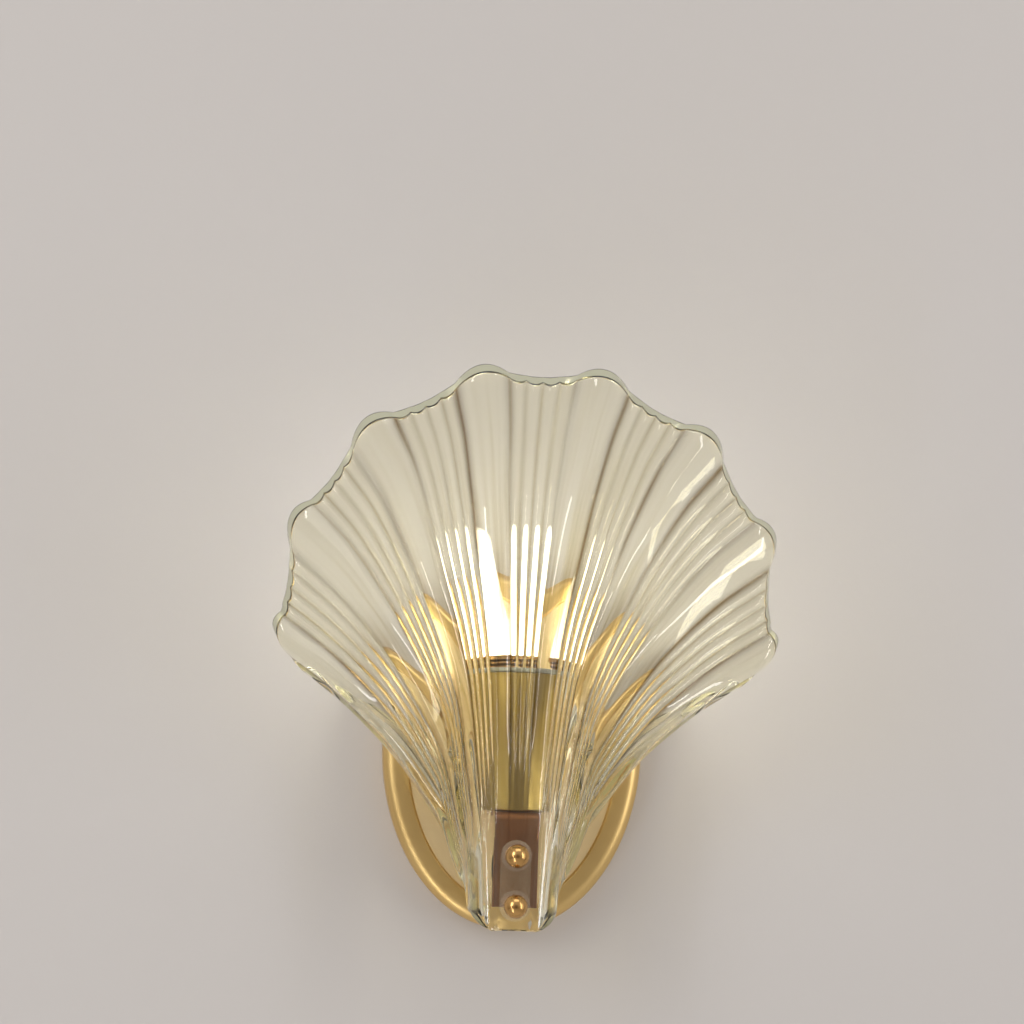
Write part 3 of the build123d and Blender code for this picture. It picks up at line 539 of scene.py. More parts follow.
# %% The smooth form
GLASS_THICKNESS = 6.0
NECK_AXIS = 58.0
SIDE_ANGLE = 124.0
SQUARENESS = 0.085
ROLL_LIMIT, ROLL_DEPTH = 0.30, 1.35
TIP_CENTRE, TIP_RADIUS, TIP_FULLNESS = -65.0, 23.5, 2.8
TIP_REACH, TIP_HALVINGS = 0.3, 30
PAD_FRONT = 77.1  # mm from the wall to the flat for the washers
SECTIONS = np.array([
    # place, half width, rise of the middle, height of the sides, sides out, bulge
    (0.00, 22.5, 5.2, -92.2, 0.0, 20.0),
    (0.16, 25.5, 24.7, -65.0, 0.0, 20.0),
    (0.29, 30.5, 46.0, -50.5, 0.0, 20.3),
    (0.46, 39.0, 66.0, -25.0, 0.0, 24.0),
    (0.57, 48.5, 78.0, -9.0, 1.5, 27.5),
    (0.71, 64.0, 87.5, 13.0, 5.5, 33.5),
    (0.81, 76.5, 96.0, 27.5, 11.5, 39.5),
    (0.93, 96.0, 104.5, 46.5, 26.0, 47.0),
    (1.00, 114.5, 108.5, 60.5, 42.0, 46.0),
])
LOBES, LOBE_PITCH, LOBE_ANGLE, FLUTES = 8, 28.0, 12.5, 4
ROWS, SIDE_STEPS, LOBE_STEPS, FLUTE_STEPS = 92, 14, 16, 9
RIM_PLACE = 0.9955  # leaves room for the rounded edge
NUDGE = 0.002


def section(place, column):
    """One column of the table at any place along the ribs, read by smooth Hermite curves."""
    places, values = SECTIONS[:, 0], SECTIONS[:, column]
    last = len(places) - 1
    low, high = np.maximum(np.arange(last + 1) - 1, 0), np.minimum(np.arange(last + 1) + 1, last)
    slopes = (values[high] - values[low]) / (places[high] - places[low])
    i = np.clip(np.searchsorted(places, place, side="right") - 1, 0, last - 1)
    span = places[i + 1] - places[i]
    s = (place - places[i]) / span
    return (
        values[i] * (1 + 2 * s) * (1 - s) ** 2
        + values[i + 1] * s * s * (3 - 2 * s)
        + span * s * (1 - s) * (slopes[i] * (1 - s) - slopes[i + 1] * s)
    )


def smooth_shell(angle, place):
    """Points in millimetres for angles across and places along, as arrays of one shape."""
    a = np.radians(angle)
    half_width, rise, side_height, side_out, bulge = (section(place, c) for c in range(1, 6))
    across = np.sin(a) + SQUARENESS * (1 - place**3) * np.sin(3 * a)
    forward = np.cos(a)
    up = np.where(forward < 0, ROLL_LIMIT * np.tanh(forward / ROLL_LIMIT), forward)
    forward = np.where(forward < 0, forward * ROLL_DEPTH, forward)
    out = -NECK_AXIS - side_out - bulge * forward
    return np.stack([half_width * across, out, side_height + rise * up], -1)


def unit(v):
    return v / np.linalg.norm(v, axis=-1, keepdims=True)


# %% Rows and columns of the blank
def column_angles():
    """Close columns on the ribs, wider ones on the plain sides."""
    group = LOBE_PITCH - LOBE_ANGLE
    start = -(LOBES - 1) / 2 * LOBE_PITCH - LOBE_ANGLE / 2
    marks = [np.linspace(-SIDE_ANGLE, start, SIDE_STEPS, endpoint=False)]
    for lobe in range(LOBES):
        at = start + lobe * LOBE_PITCH
        marks.append(np.linspace(at, at + LOBE_ANGLE, LOBE_STEPS, endpoint=False))
        if lobe < LOBES - 1:
            marks.append(
                np.linspace(at + LOBE_ANGLE, at + LOBE_PITCH, FLUTES * FLUTE_STEPS, endpoint=False)
            )
    marks.append(np.linspace(-start, SIDE_ANGLE, SIDE_STEPS + 1))
    return np.concatenate(marks)


angles = column_angles()
# The tongue at the lower end is a full round: each column starts where it meets that outline.
low, first = np.zeros_like(angles), np.full_like(angles, TIP_REACH)
for _ in range(TIP_HALVINGS):
    middle = (low + first) / 2
    spot = smooth_shell(angles, middle)
    side, below = np.abs(spot[:, 0]), TIP_CENTRE - spot[:, 2]
    outside = side**TIP_FULLNESS + np.abs(below) ** TIP_FULLNESS > TIP_RADIUS**TIP_FULLNESS
    outside &= below > 0
    low, first = np.where(outside, middle, low), np.where(outside, first, middle)
across_grid = np.repeat(angles[None, :], ROWS, 0)
along_grid = first[None, :] + (RIM_PLACE - first[None, :]) * np.linspace(0, 1, ROWS)[:, None]
base = smooth_shell(across_grid, along_grid)
before = base - smooth_shell(across_grid, along_grid - NUDGE)
after = smooth_shell(across_grid, along_grid + NUDGE) - base
rib_way = unit(np.where(along_grid[..., None] > 0.5, before, after))
cross_way = unit(
    smooth_shell(across_grid + NUDGE, along_grid) - smooth_shell(across_grid - NUDGE, along_grid)
)
outward = unit(np.cross(cross_way, rib_way))
print("blank", ROWS, "rows of", len(angles), "columns")

# %% [markdown]
# ## Closing the blank
# Glass has two faces and a fire-polished edge. The sheet is laid twice, and short rows round the
# border join the two, each a little further out in the middle, which gives the rounded edge that
# catches the light all round the rim.

# %% Two faces and a rounded border
# Each pair is a share of the wall and how far out it lies, in mm.
LIP = [(0.02, 0.42), (0.08, 0.75), (0.18, 0.93), (0.5, 1.0), (0.82, 0.93), (0.92, 0.75), (0.98, 0.42)]
columns = len(angles)
index = np.arange(ROWS * columns).reshape(ROWS, columns)
border = np.concatenate([index[0, :], index[1:, -1], index[-1, -2::-1], index[-2:0:-1, 0]])
lip_way = np.zeros_like(base)
lip_way[0] -= rib_way[0]
lip_way[-1] += rib_way[-1]
lip_way[:, 0] -= cross_way[:, 0]
lip_way[:, -1] += cross_way[:, -1]
count = ROWS * columns
base_f, out_f, rib_f, lip_f = (grid.reshape(count, 3) for grid in (base, outward, rib_way, lip_way))
across_f, along_f = across_grid.reshape(count), along_grid.reshape(count)
lip_f = np.divide(lip_f, np.maximum(np.linalg.norm(lip_f, axis=-1, keepdims=True), 1e-9))
sources = [np.arange(count), np.arange(count)] + [border] * len(LIP)
walls = [np.zeros(count), np.ones(count)] + [np.full(len(border), share) for share, _ in LIP]
outs = [np.zeros(count), np.zeros(count)] + [np.full(len(border), far) for _, far in LIP]
source, wall, out_by = map(np.concatenate, (sources, walls, outs))
blank_points = (base_f[source] + lip_f[source] * out_by[:, None]) * MM
quads = np.stack([index[:-1, :-1], index[:-1, 1:], index[1:, 1:], index[1:, :-1]], -1).reshape(-1, 4)
faces = [quads, quads[:, ::-1] + count]
edge_rings = [2 * count + k * len(border) + np.arange(len(border)) for k in range(len(LIP))]
rings = [border] + edge_rings + [border + count]
for near, far in zip(rings, rings[1:]):
    faces.append(np.stack([near, far, np.roll(far, -1), np.roll(near, -1)], -1))
shell_mesh = bpy.data.meshes.new("shell_blank")
shell_mesh.from_pydata(blank_points.tolist(), [], np.concatenate(faces).tolist())
for name, kind, member, values in (
    ("across", "FLOAT", "value", across_f[source]),
    ("along", "FLOAT", "value", along_f[source]),
    ("wall", "FLOAT", "value", wall),
    ("half_width", "FLOAT", "value", section(along_f[source], 1)),
    ("outward", "FLOAT_VECTOR", "vector", out_f[source]),
    ("rib_way", "FLOAT_VECTOR", "vector", rib_f[source]),
):
    layer = shell_mesh.attributes.new(name, kind, "POINT")
    layer.data.foreach_set(member, np.ascontiguousarray(values, dtype=np.float32).ravel())
print("blank", len(shell_mesh.vertices), "points")

# %% [markdown]
# ## Pressing the ribs
# The ribs follow a rule, so a Geometry Nodes tree presses them: eight wide lobes at one pitch,
# and in each gap four narrow flutes. They fade out towards the neck, and the rim reaches
# furthest on the lobes. The mould's numbers are the tree's inputs, so another glass from the
# same house would only need other numbers.

# %% The mould as a node tree
def new_tree(name, sizes):
    """A Geometry Nodes tree with an input for each size, and its inputs by their names."""
    tree = bpy.data.node_groups.new(name, "GeometryNodeTree")
    for way in ("INPUT", "OUTPUT"):
        tree.interface.new_socket("Geometry", in_out=way, socket_type="NodeSocketGeometry")
    for label, size in sizes.items():
        socket = tree.interface.new_socket(label, in_out="INPUT", socket_type="NodeSocketFloat")
        socket.default_value = size
    return tree, {socket.name: socket for socket in put(tree, "NodeGroupInput").outputs}


MOULD_SIZES = {
    "Lobes": float(LOBES),
    "Lobe pitch": LOBE_PITCH,
    "Lobe angle": LOBE_ANGLE,
    "Flutes": float(FLUTES),
    "Lobe height": 0.05,
    "Flute height": 0.020,
    "Flute base": 0.5 * MM,
    "Petal length": 11.0 * MM,
    "Thickness": GLASS_THICKNESS * MM,
    "Ribs start": 0.10,
    "Pad front": PAD_FRONT * MM,
    "Seat": 70.65 * MM,
}
mould, known = new_tree("press_ribs", MOULD_SIZES)
known.update({"MM": MM, "2 pi": 2 * math.pi})
for name in ("across", "along", "wall", "half_width"):
    known[name] = put(
        mould, "GeometryNodeInputNamedAttribute", {"Name": name}, data_type="FLOAT"
    ).outputs["Attribute"]

# %% The mould's sums, one Math node a line
def sums(text, known):
    """Each line as a name, an operation and its inputs: earlier names in known, or numbers."""
    for line in text.splitlines():
        if line and not line.startswith("#"):
            name, rule = line.split(" = ")
            operation, *terms = rule.split(", ")
            inputs = {k: known[t] if t in known else float(t) for k, t in enumerate(terms)}
            yield name, operation, inputs


# How near a crease or a lobe's edge is, the masks for the painted shade in the glass, on the front
# only.
RIB_SUMS = """
# Distance, in degrees, to the middle of the nearest lobe.
gaps = SUBTRACT, Lobes, 1.0
half pitch = MULTIPLY, Lobe pitch, 0.5
half lobe = MULTIPLY, Lobe angle, 0.5
last lobe = MULTIPLY, gaps, half pitch
from first = ADD, across, last lobe
number = DIVIDE, from first, Lobe pitch
number = ROUND, number
number = MAXIMUM, number, 0.0
number = MINIMUM, number, gaps
middle = MULTIPLY, number, Lobe pitch
away = SUBTRACT, from first, middle
away = ABSOLUTE, away
lobe share = DIVIDE, away, half lobe
lobe = POWER, lobe share, 2.0
lobe = SUBTRACT, 1.0, lobe
lobe = MAXIMUM, 0.0, lobe
# The flutes repeat from one lobe's edge to the next.
group = SUBTRACT, Lobe pitch, Lobe angle
group edge = SUBTRACT, last lobe, half lobe
step = ADD, across, group edge
step = FLOORED_MODULO, step, Lobe pitch
phase = DIVIDE, step, group
phase = MULTIPLY, phase, Flutes
phase = FRACT, phase
phase = MULTIPLY, phase, 2.0
phase = SUBTRACT, phase, 1.0
phase = ABSOLUTE, phase
between = LESS_THAN, step, group
from middle = ABSOLUTE, across
inside = LESS_THAN, from middle, group edge
between = MULTIPLY, between, inside
flute = POWER, phase, 2.0
flute = SUBTRACT, 1.0, flute
flute = MULTIPLY, flute, between
# Both fade towards the neck, and the lobes flatten a little at the rim.
fade = SUBTRACT, along, Ribs start
fade = DIVIDE, fade, 0.25
fade = MAXIMUM, fade, 0.0
fade = MINIMUM, fade, 1.0
flatten = POWER, along, 4.0
flatten = MULTIPLY, flatten, -0.35
flatten = ADD, flatten, 1.0
scale = MULTIPLY, half_width, fade
scale = MULTIPLY, scale, MM
lobe lift = MULTIPLY, lobe, flatten
lobe lift = MULTIPLY, lobe lift, Lobe height
lobe lift = MULTIPLY, lobe lift, scale
flute size = MULTIPLY, Flute height, scale
flute least = MULTIPLY, Flute base, fade
flute lift = ADD, flute size, flute least
flute lift = MULTIPLY, flute lift, flute
flute fade = SUBTRACT, along, 0.13
flute fade = DIVIDE, flute fade, 0.3
flute fade = MAXIMUM, flute fade, 0.0
flute fade = MINIMUM, flute fade, 1.0
flute lift = MULTIPLY, flute lift, flute fade
# The back face takes a quarter of a lobe, none of a flute, and lies one thickness behind.
back share = MULTIPLY, wall, -0.75
back share = ADD, back share, 1.0
front share = SUBTRACT, 1.0, wall
lift = MULTIPLY, lobe lift, back share
flute lift = MULTIPLY, flute lift, front share
lift = ADD, lift, flute lift
sink = MULTIPLY, Thickness, wall
lift = SUBTRACT, lift, sink
# The rim reaches furthest on a lobe.
wave = DIVIDE, away, Lobe pitch
wave = MINIMUM, wave, 0.5
wave = MULTIPLY, wave, 2 pi
wave = COSINE, wave
wave = ADD, wave, 1.0
wave = MULTIPLY, wave, 0.5
wave = ADD, wave, lobe
wave = MULTIPLY, wave, 0.5
near rim = SUBTRACT, along, 0.75
near rim = DIVIDE, near rim, 0.25
near rim = MAXIMUM, near rim, 0.0
near rim = POWER, near rim, 3.0
reach = MULTIPLY, wave, near rim
reach = MULTIPLY, reach, Petal length
# How near a crease is, for the colour of the glass: flutes on the front only.
crease = POWER, phase, 5.0
crease = MULTIPLY, crease, between
crease = MULTIPLY, crease, front share
crease = MULTIPLY, crease, flute fade
edge gap = SUBTRACT, lobe share, 1.0
edge gap = ABSOLUTE, edge gap
edge gap = DIVIDE, edge gap, 0.3
lobe edge = SUBTRACT, 1.0, edge gap
lobe edge = MAXIMUM, lobe edge, 0.0
lobe edge = MULTIPLY, lobe edge, front share
lobe edge = MULTIPLY, lobe edge, fade
"""
for name, operation, inputs in sums(RIB_SUMS, known):
    known[name] = put(mould, "ShaderNodeMath", inputs, operation=operation).outputs[0]
print("mould", len(mould.nodes), "nodes")

# %% Move the points, flatten the seats, choose the glass
FLATS_FROM, FLATS_WHOLE = -30 * MM, -44 * MM
SEAT_FROM, SEAT_WHOLE = 13 * MM, 10.3 * MM
known["edge share"] = 0.335  # of the wall, to each side of its middle, that is rim
ways = {}
for way, size in (("outward", "lift"), ("rib_way", "reach")):
    along_way = put(
        mould, "GeometryNodeInputNamedAttribute", {"Name": way}, data_type="FLOAT_VECTOR"
    ).outputs["Attribute"]
    ways[way] = put(
        mould, "ShaderNodeVectorMath", {0: along_way, "Scale": known[size]}, operation="SCALE"
    ).outputs[0]
both = put(
    mould, "ShaderNodeVectorMath", {0: ways["outward"], 1: ways["rib_way"]}, operation="ADD"
).outputs[0]
pressed = put(mould, "GeometryNodeSetPosition", {"Geometry": known["Geometry"], "Offset": both})
# Two flats on the neck: one for the washers in front, one for the strip behind.
spot = put(
    mould, "ShaderNodeSeparateXYZ", {0: put(mould, "GeometryNodeInputPosition").outputs[0]}
).outputs
known["forward"] = spot["Y"]
known["low down"] = put(
    mould, "ShaderNodeMapRange", {"Value": spot["Z"], "From Min": FLATS_FROM, "From Max": FLATS_WHOLE},
    **SMOOTH,
).outputs[0]
known["side"] = put(mould, "ShaderNodeMath", {0: spot["X"]}, operation="ABSOLUTE").outputs[0]
known["beside"] = put(
    mould, "ShaderNodeMapRange",
    {"Value": known["side"], "From Min": SEAT_FROM, "From Max": SEAT_WHOLE}, **SMOOTH,
).outputs[0]
FLAT_SUMS = """
front = MULTIPLY, Pad front, -1.0
front = MAXIMUM, forward, front
front = SUBTRACT, front, forward
front = MULTIPLY, front, low down
is front = LESS_THAN, wall, 0.5
front = MULTIPLY, front, is front
back = MULTIPLY, Seat, -1.0
back = MINIMUM, forward, back
back = SUBTRACT, back, forward
back = MULTIPLY, back, low down
back = MULTIPLY, back, beside
is back = GREATER_THAN, wall, 0.5
back = MULTIPLY, back, is back
move = ADD, front, back
edge = SUBTRACT, wall, 0.5
edge = ABSOLUTE, edge
edge = LESS_THAN, edge, edge share
"""
for name, operation, inputs in sums(FLAT_SUMS, known):
    known[name] = put(mould, "ShaderNodeMath", inputs, operation=operation).outputs[0]
move = put(mould, "ShaderNodeCombineXYZ", {"Y": known["move"]}).outputs[0]
shape = put(mould, "GeometryNodeSetPosition", {"Geometry": pressed, "Offset": move})
# The masks for the painted shade in the glass are kept on the mesh.
for layer, value in (("crease", "crease"), ("lobe_edge", "lobe edge")):
    shape = put(
        mould, "GeometryNodeStoreNamedAttribute",
        {"Geometry": shape, "Name": layer, "Value": known[value]}, data_type="FLOAT", domain="POINT",
    )
whole = put(mould, "GeometryNodeRealizeInstances", {0: shape})
glazed = put(mould, "GeometryNodeSetMaterial", {"Geometry": whole, "Material": amber_glass})
rimmed = put(
    mould, "GeometryNodeSetMaterial",
    {"Geometry": glazed, "Selection": known["edge"], "Material": edge_glass},
)
put(mould, "NodeGroupOutput", {"Geometry": rimmed})
print("press_ribs", len(mould.nodes), "nodes")


# %% [markdown]
# ## From a tree to a plain mesh
# The tree runs once and its result is kept as an ordinary mesh, which any other program reads.

# %% Run a tree and keep its mesh
def bake_tree(name, source_mesh, tree, sizes):
    carrier = new_object(name + "_source", source_mesh)
    modifier = carrier.modifiers.new("tree", "NODES")
    modifier.node_group = tree
    for item in tree.interface.items_tree:
        if item.name in sizes:
            modifier[item.identifier] = sizes[item.name]
    bpy.context.view_layer.update()
    evaluated = carrier.evaluated_get(bpy.context.evaluated_depsgraph_get())
    baked = bpy.data.meshes.new_from_object(evaluated)
    baked.name = name
    bpy.data.objects.remove(carrier)
    for layer in ("wall", "half_width", "outward", "rib_way"):
        if layer in baked.attributes:
            baked.attributes.remove(baked.attributes[layer])
    # An empty first slot goes, and each face keeps its own material.
    finishes_used = [material for material in baked.materials if material]
    face_finish = [baked.materials[polygon.material_index] for polygon in baked.polygons]
    baked.materials.clear()
    for material in finishes_used:
        baked.materials.append(material)
    for polygon, material in zip(baked.polygons, face_finish):
        polygon.material_index = finishes_used.index(material)
    return baked


pressed_mesh = bake_tree("amber_shell", shell_mesh, mould, MOULD_SIZES)
glass_piece = finish_piece(
    "amber_shell", pressed_mesh, amber_glass, "lamp", "shell_glass", sharp=60
)
print("amber_shell", len(glass_piece.data.polygons), "faces")

# %% [markdown]
# ## The wall plate
# The plate is an oval pressing with a rounded rim moulding and a flat middle a step lower. An
# oval outline is carried inwards and forwards in rings, as a die would draw it.

# %% Oval rings
low_plate, high_plate = (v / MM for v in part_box("backplate"))
half_x, half_z = (high_plate - low_plate).x / 2, (high_plate - low_plate).z / 2
PLATE_DEPTH, RIM_WIDTH, RIM_STEP, SHEET, DISC = 22.0, 12.5, 1.5, 2.0, 52
MIDDLE_OUT = PLATE_DEPTH - RIM_STEP
RING_STEPS = 200
# Each pair is how far in from the oval's edge and how far out from the wall.
plate_section = [
    (0, 0), (0, PLATE_DEPTH), (RIM_WIDTH, PLATE_DEPTH), (RIM_WIDTH, MIDDLE_OUT), (DISC, MIDDLE_OUT),
    (DISC, MIDDLE_OUT - SHEET), (SHEET, MIDDLE_OUT - SHEET), (SHEET, 0),
]
plate_outline = rounded(plate_section, [0.4, 6.0, 0.9, 0.5, 0, 0, 1.5, 0.3], steps=7)
plate_points, plate_faces, discs = [], [], []
for inset, out in plate_outline:
    for k in range(RING_STEPS):
        t = 2 * math.pi * k / RING_STEPS
        across, up = (half_x - inset) * math.cos(t), (half_z - inset) * math.sin(t)
        plate_points.append((across * MM, -out * MM, up * MM))
for ring, (inset, _) in enumerate(plate_outline):
    following = (ring + 1) % len(plate_outline)
    here, there = ring * RING_STEPS, following * RING_STEPS
    if inset == DISC:
        discs.append([here + k for k in range(RING_STEPS)])
    if inset == plate_outline[following][0] == DISC:
        continue
    for k in range(RING_STEPS):
        j = (k + 1) % RING_STEPS
        plate_faces.append((here + k, there + k, there + j, here + j))
plate_faces += discs
plate = make_piece(
    "wall_plate", plate_points, plate_faces, satin_brass, "lamp", "satin_brass", "backplate"
)
# The flat middle, where it faces straight out, takes a paler, duller brass than the rim.
MIDDLE_EDGE = 12
plate.data.materials.append(face_brass)
for polygon in plate.data.polygons:
    spot = polygon.center / MM
    share = math.hypot(spot.x / (half_x - MIDDLE_EDGE), spot.z / (half_z - MIDDLE_EDGE))
    if polygon.normal.y < -0.99 and share < 1.001:
        polygon.material_index = 1
print("wall_plate", len(plate_faces), "faces")

# %% [markdown]
# ## Turned pieces
# The cap nuts, the washers, the cup with its ring, the bulb's cap, collar and cover are all
# turned or blown round, so each is an outline spun about its axis. The ball nut's outline is a
# short foot and most of a circle.

# %% Cap nuts and washers
NUT_FOOT, NUT_BORE, BORE_DEPTH, BORE_TIP = 5.0, 2.6, 7.5, 9.0
for name, node, body in (
    ("upper_ball_nut", "upper_cap_nut", "upper_nut"),
    ("lower_ball_nut", "lower_cap_nut", "lower_nut"),
):
    low_nut, high_nut = (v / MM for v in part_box(node))
    radius = (high_nut.x - low_nut.x) / 2
    ball = high_nut.y - low_nut.y - radius
    open_angle = math.acos(-math.sqrt(radius**2 - NUT_FOOT**2) / radius)
    arc = [
        (radius * math.sin(t), ball + radius * math.cos(t)) for t in np.linspace(open_angle, 0.02, 28)
    ]
    foot = [(NUT_BORE, 0.0), (NUT_FOOT - 0.3, 0.0), (NUT_FOOT, 0.3)]
    bore = [(0.01, BORE_TIP), (0.01, BORE_DEPTH), (NUT_BORE, BORE_DEPTH)]
    spot = (0, high_nut.y, (low_nut.z + high_nut.z) / 2)
    points, faces = turned([*foot, *arc, *bore], 64, spot, "Y")
    make_piece(name, points, faces, polished_brass, body, "polished_brass", node)
# The washers stand a hair off the glass, so that no face lies in the glass's own.
WASHER_HEIGHTS, WASHER_LIFT = (-52.0, -76.0), 0.15
washer_section = [(2.6, WASHER_LIFT), (7.5, WASHER_LIFT), (7.5, 1.0), (2.6, 1.0)]
washer_points, washer_faces = [], []
for height in WASHER_HEIGHTS:
    points, faces = turned(rounded(washer_section, 0.3, 3), 64, (0, -PAD_FRONT, height), "Y")
    washer_faces += [[i + len(washer_points) for i in f] for f in faces]
    washer_points += points
make_piece(
    "clear_washers", washer_points, washer_faces, silicone, "lamp", "clear_silicone", "glass_washers"
)
print("cap nuts 2, washers", len(WASHER_HEIGHTS))

# %% A gasket pressed thin, so that no face lies in the glass's own
GASKET_GAP, GASKET_PRESS = 0.02 * MM, 0.3
gasket_mesh = nodes["glass_gasket"].data.copy()
gasket_back = max(v.co.y for v in gasket_mesh.vertices) - GASKET_GAP
for vertex in gasket_mesh.vertices:
    vertex.co.y = gasket_back + (vertex.co.y - gasket_back) * GASKET_PRESS
gasket_mesh.materials.clear()
finish_piece("thin_gasket", gasket_mesh, silicone, "lamp", "glass_gasket")
print("thin_gasket", len(gasket_mesh.polygons), "faces")

# %% Cup, ring and holder
AXIS = (0, -50.0, 0)
# Each outline is pairs of radius and height in mm, with a radius for each corner.
cup_section = [(5.05, -31), (18, -31), (18, 36.5), (16.8, 36.5), (16.8, -29), (5.05, -29)]
ring_section = [(16.8, 36.5), (18.7, 36.5), (18.7, 38.9), (16.8, 38.9)]
holder_section = [
    (5.1, -28), (13, -28), (13, 30), (8.3, 30), (8.3, 7), (2.4, 7), (2.4, -14), (5.1, -14)
]
cup = turned(rounded(cup_section, [0, 1.5, 0.3, 0.3, 1.0, 0], 5), 96, AXIS)
ring = turned(rounded(ring_section, [0, 0.5, 0.9, 0.4], 4), 96, AXIS)
holder = turned(rounded(holder_section, [0, 0.8, 1.5, 0.8, 0.5, 0, 0, 0], 4), 72, AXIS)
make_piece("brass_cup", *cup, cup_brass, "lamp", "satin_brass", "holder_cup")
make_piece("cup_top_ring", *ring, zinc_steel, "lamp", "plated_steel", "cup_ring")
make_piece("ceramic_holder", *holder, glazed_white, "lamp", "holder_white", "lamp_holder")
print("cup", len(cup[1]), "faces, holder", len(holder[1]), "faces")

# %% [markdown]
# ## The strip bracket
# A strip of brass is bent three times: it lies on the plate, turns out as a shelf under the cup
# and turns down behind the glass. Its side view is drawn with round bends and carried across.

# %% Bend the strip
STRIP_HALF, EDGE_ROUND = 10, 0.35 * MM
strip_section = [
    (-20.5, 4.0), (-20.5, -33.5), (-67.9, -33.5), (-67.9, -77.0),
    (-70.4, -77.0), (-70.4, -31.0), (-23.0, -31.0), (-23.0, 4.0),
]
strip_side = rounded(strip_section, [0.5, 4.0, 1.5, 0.5, 0.5, 4.0, 1.5, 0.5], 6)
strip_points = [(x * MM, y * MM, z * MM) for x in (-STRIP_HALF, STRIP_HALF) for y, z in strip_side]
n = len(strip_side)
strip_faces = [(i, (i + 1) % n, n + (i + 1) % n, n + i) for i in range(n)]
strip_faces = [list(range(n)), list(range(n, 2 * n))] + strip_faces
strip = make_piece(
    "bent_strip", strip_points, strip_faces, shaded_brass, "lamp", "shaded_brass", "strip_bracket",
    sharp=40,
)
edge_round = strip.modifiers.new("edges", "BEVEL")
edge_round.width, edge_round.segments = EDGE_ROUND, 2
edge_round.limit_method, edge_round.angle_limit = "ANGLE", math.radians(50)
edge_round.harden_normals = True
print("bent_strip", n, "points a side")

# %% [markdown]
# ## The bulb
# An LED bulb of this kind is an upright column of LEDs under a clear cover, on a ridged collar
# with a brass coat and a small screw cap. The thread on the cap is a real helix, cut by carrying
# the outline round and up.

# %% Screw cap
THREAD_DEPTH, THREAD_PITCH, THREAD_RUNOUT = 0.9, 3.0, 2.0
THREAD_STEPS, ROWS_PER_TURN = 48, 12


def threaded(radius, bottom, top):
    """A round thread as rings of points that rise by one pitch a turn."""
    rows = int((top - bottom) / THREAD_PITCH * ROWS_PER_TURN)
    points, faces = [], []
    for row in range(rows + 1):
        z = bottom + (top - bottom) * row / rows
        ends = min(1.0, (z - bottom) / THREAD_RUNOUT, (top - z) / THREAD_RUNOUT)
        for k in range(THREAD_STEPS):
            t = 2 * math.pi * k / THREAD_STEPS
            wave = 0.5 - 0.5 * math.cos(2 * math.pi * (z / THREAD_PITCH - k / THREAD_STEPS))
            r = radius - THREAD_DEPTH * wave * ends
            points.append(((AXIS[0] + r * math.cos(t)) * MM, (AXIS[1] + r * math.sin(t)) * MM, z * MM))
    for row in range(rows):
        here, above = row * THREAD_STEPS, (row + 1) * THREAD_STEPS
        for k in range(THREAD_STEPS):
            j = (k + 1) % THREAD_STEPS
            faces.append((here + k, here + j, above + j, above + k))
    last = rows * THREAD_STEPS
    faces += [list(range(THREAD_STEPS)), list(range(last, last + THREAD_STEPS))]
    return points, faces


low_cap, high_cap = (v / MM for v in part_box("bulb_cap"))
thread = threaded((high_cap.x - low_cap.x) / 2, low_cap.z, high_cap.z)
make_piece("screw_cap", *thread, polished_brass, "bulb", "polished_brass", "bulb_cap", sharp=60)
print("screw_cap", len(thread[1]), "faces")

# %% Ridged collar and clear cover
RIDGES, RIDGE_DEPTH, COLLAR_LOW, COLLAR_TOP = 5, 0.7, 9, 15
low_house, high_house = (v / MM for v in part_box("bulb_housing"))
flank = []
for k in range(2 * RIDGES + 1):
    height = low_house.z + 1 + (high_house.z - low_house.z - 3) * k / (2 * RIDGES)
    out = COLLAR_LOW + (COLLAR_TOP - COLLAR_LOW) * k / (2 * RIDGES)
    flank.append((out - (RIDGE_DEPTH if k % 2 else 0), height))
collar_section = [
    (0.01, low_house.z), (8.6, low_house.z), *flank, (COLLAR_TOP, high_house.z), (0.01, high_house.z)
]
collar = turned(rounded(collar_section, [0, 0.6, *[0.3] * len(flank), 0.5, 0], 3), 72, AXIS)
make_piece("housing_collar", *collar, polished_brass, "bulb", "polished_brass", "bulb_housing")
low_cover, high_cover = (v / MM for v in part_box("bulb_cover"))
bottom, top = low_cover.z, high_cover.z
cover_section = [
    (13.5, bottom), (14.5, bottom), (14.5, top), (0.01, top), (0.01, top - 1), (13.5, top - 1)
]
cover = turned(rounded(cover_section, [0.3, 0.3, 8.0, 0, 0, 7.0], 9), 96, AXIS)
make_piece("clear_cover", *cover, cover_glass, "bulb", "bulb_glass", "bulb_cover")
print("collar", len(collar[1]), "faces, cover", len(cover[1]), "faces")

# %% [markdown]
# ## Rows of LEDs
# The lit column carries 64 LEDs: eight rows on each of eight sides. A Geometry Nodes tree sets
# out one point for each, turns it to face outwards, and puts one LED there, a white body with a
# domed lens of phosphor.

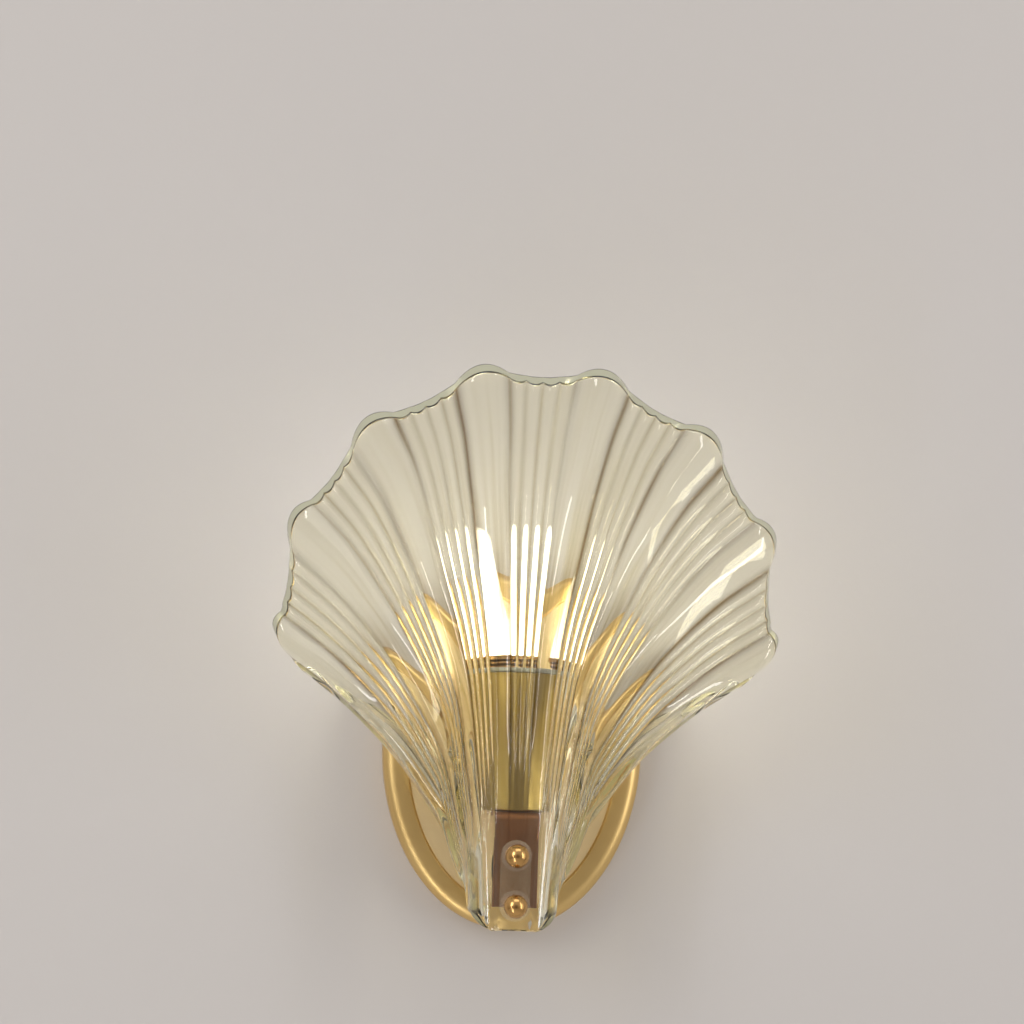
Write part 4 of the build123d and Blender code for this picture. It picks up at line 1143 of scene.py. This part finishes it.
# %% One LED, repeated round the column
ROW_SIZES = {
    "Sides": 8.0,
    "Rows": 8.0,
    "Row pitch": 7.0 * MM,
    "Apothem": 9.0 * MM,
    "Body": 3.0 * MM,
    "Lens": 1.25 * MM,
}
BODY_HEIGHT, LENS_LIFT, LENS_FLATTENED = 0.8 * MM, 0.25 * MM, 0.42
rows_tree, known = new_tree("led_rows", ROW_SIZES)
known["2 pi"] = 2 * math.pi
known["index"] = put(rows_tree, "GeometryNodeInputIndex").outputs[0]
ROW_SUMS = """
count = MULTIPLY, Sides, Rows
side = DIVIDE, index, Rows
side = FLOOR, side
row = FLOORED_MODULO, index, Rows
turn = ADD, side, 0.5
turn = DIVIDE, turn, Sides
turn = MULTIPLY, turn, 2 pi
cosine = COSINE, turn
sine = SINE, turn
x = MULTIPLY, cosine, Apothem
y = MULTIPLY, sine, Apothem
middle row = SUBTRACT, Rows, 1.0
middle row = MULTIPLY, middle row, 0.5
z = SUBTRACT, row, middle row
z = MULTIPLY, z, Row pitch
"""
for name, operation, inputs in sums(ROW_SUMS, known):
    known[name] = put(rows_tree, "ShaderNodeMath", inputs, operation=operation).outputs[0]
place = put(
    rows_tree, "ShaderNodeCombineXYZ", {"X": known["x"], "Y": known["y"], "Z": known["z"]}
).outputs[0]
places = put(rows_tree, "GeometryNodePoints", {"Count": known["count"], "Position": place})
tilt = put(rows_tree, "ShaderNodeCombineXYZ", {"Y": math.pi / 2, "Z": known["turn"]}).outputs[0]
facing_out = put(rows_tree, "FunctionNodeEulerToRotation", {0: tilt}).outputs[0]
flat_size = put(
    rows_tree, "ShaderNodeCombineXYZ", {"X": known["Body"], "Y": known["Body"], "Z": BODY_HEIGHT}
).outputs[0]
body = put(rows_tree, "GeometryNodeMeshCube", {"Size": flat_size})
body = put(rows_tree, "GeometryNodeSetMaterial", {"Geometry": body, "Material": board_white})
lens = put(rows_tree, "GeometryNodeMeshUVSphere", {"Segments": 16, "Rings": 8, "Radius": known["Lens"]})
lens = put(
    rows_tree, "GeometryNodeTransform",
    {"Geometry": lens, "Translation": (0, 0, LENS_LIFT), "Scale": (1.0, 1.0, LENS_FLATTENED)},
)
lens = put(rows_tree, "GeometryNodeSetMaterial", {"Geometry": lens, "Material": led_glow})
one_led = put(rows_tree, "GeometryNodeJoinGeometry")
for part in (lens, body):
    rows_tree.links.new(part.outputs[0], one_led.inputs[0])
many = put(
    rows_tree, "GeometryNodeInstanceOnPoints",
    {"Points": places, "Instance": one_led, "Rotation": facing_out},
)
whole = put(rows_tree, "GeometryNodeRealizeInstances", {0: many})
low_chips, high_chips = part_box("led_chips")
lifted = put(
    rows_tree, "GeometryNodeTransform", {"Geometry": whole, "Translation": (low_chips + high_chips) / 2}
)
put(rows_tree, "NodeGroupOutput", {"Geometry": lifted})
led_mesh = bake_tree("led_rows", bpy.data.meshes.new("led_start"), rows_tree, ROW_SIZES)
led_rows = finish_piece("led_rows", led_mesh, led_glow, "bulb", "led_chips")
print("led_rows", len(led_rows.data.polygons), "faces,", [m.name for m in led_rows.data.materials])

# %% [markdown]
# ## Finishes for the pieces that keep their frame shape
# Nuts, studs, screws and wires are right as the frame has them and only take their finish.

# %% Paint the rest
finishes = {
    zinc_steel: (
        "wall_crossbar", "earth_screw", "bracket_nuts", "stud_nuts", "lock_washer", "terminal_screws"
    ),
    polished_brass: (
        "plate_edge_screws", "bracket_screws", "glass_studs", "holder_nipple", "nipple_nut",
        "holder_screw_shell", "centre_contact", "bulb_tip",
    ),
    silicone: ("stud_sleeves",),
    black_rubber: ("cable_grommet",),
    lead_rubber: ("lamp_lead",),
    wire_brown: ("inner_wires",),
    block_white: ("terminal_block",),
    board_white: ("led_column",),
}
for finish, members in finishes.items():
    for member in members:
        mesh = nodes[member].data
        mesh.materials.clear()
        mesh.materials.append(finish)
print("finishes", {finish.name: len(members) for finish, members in finishes.items()})
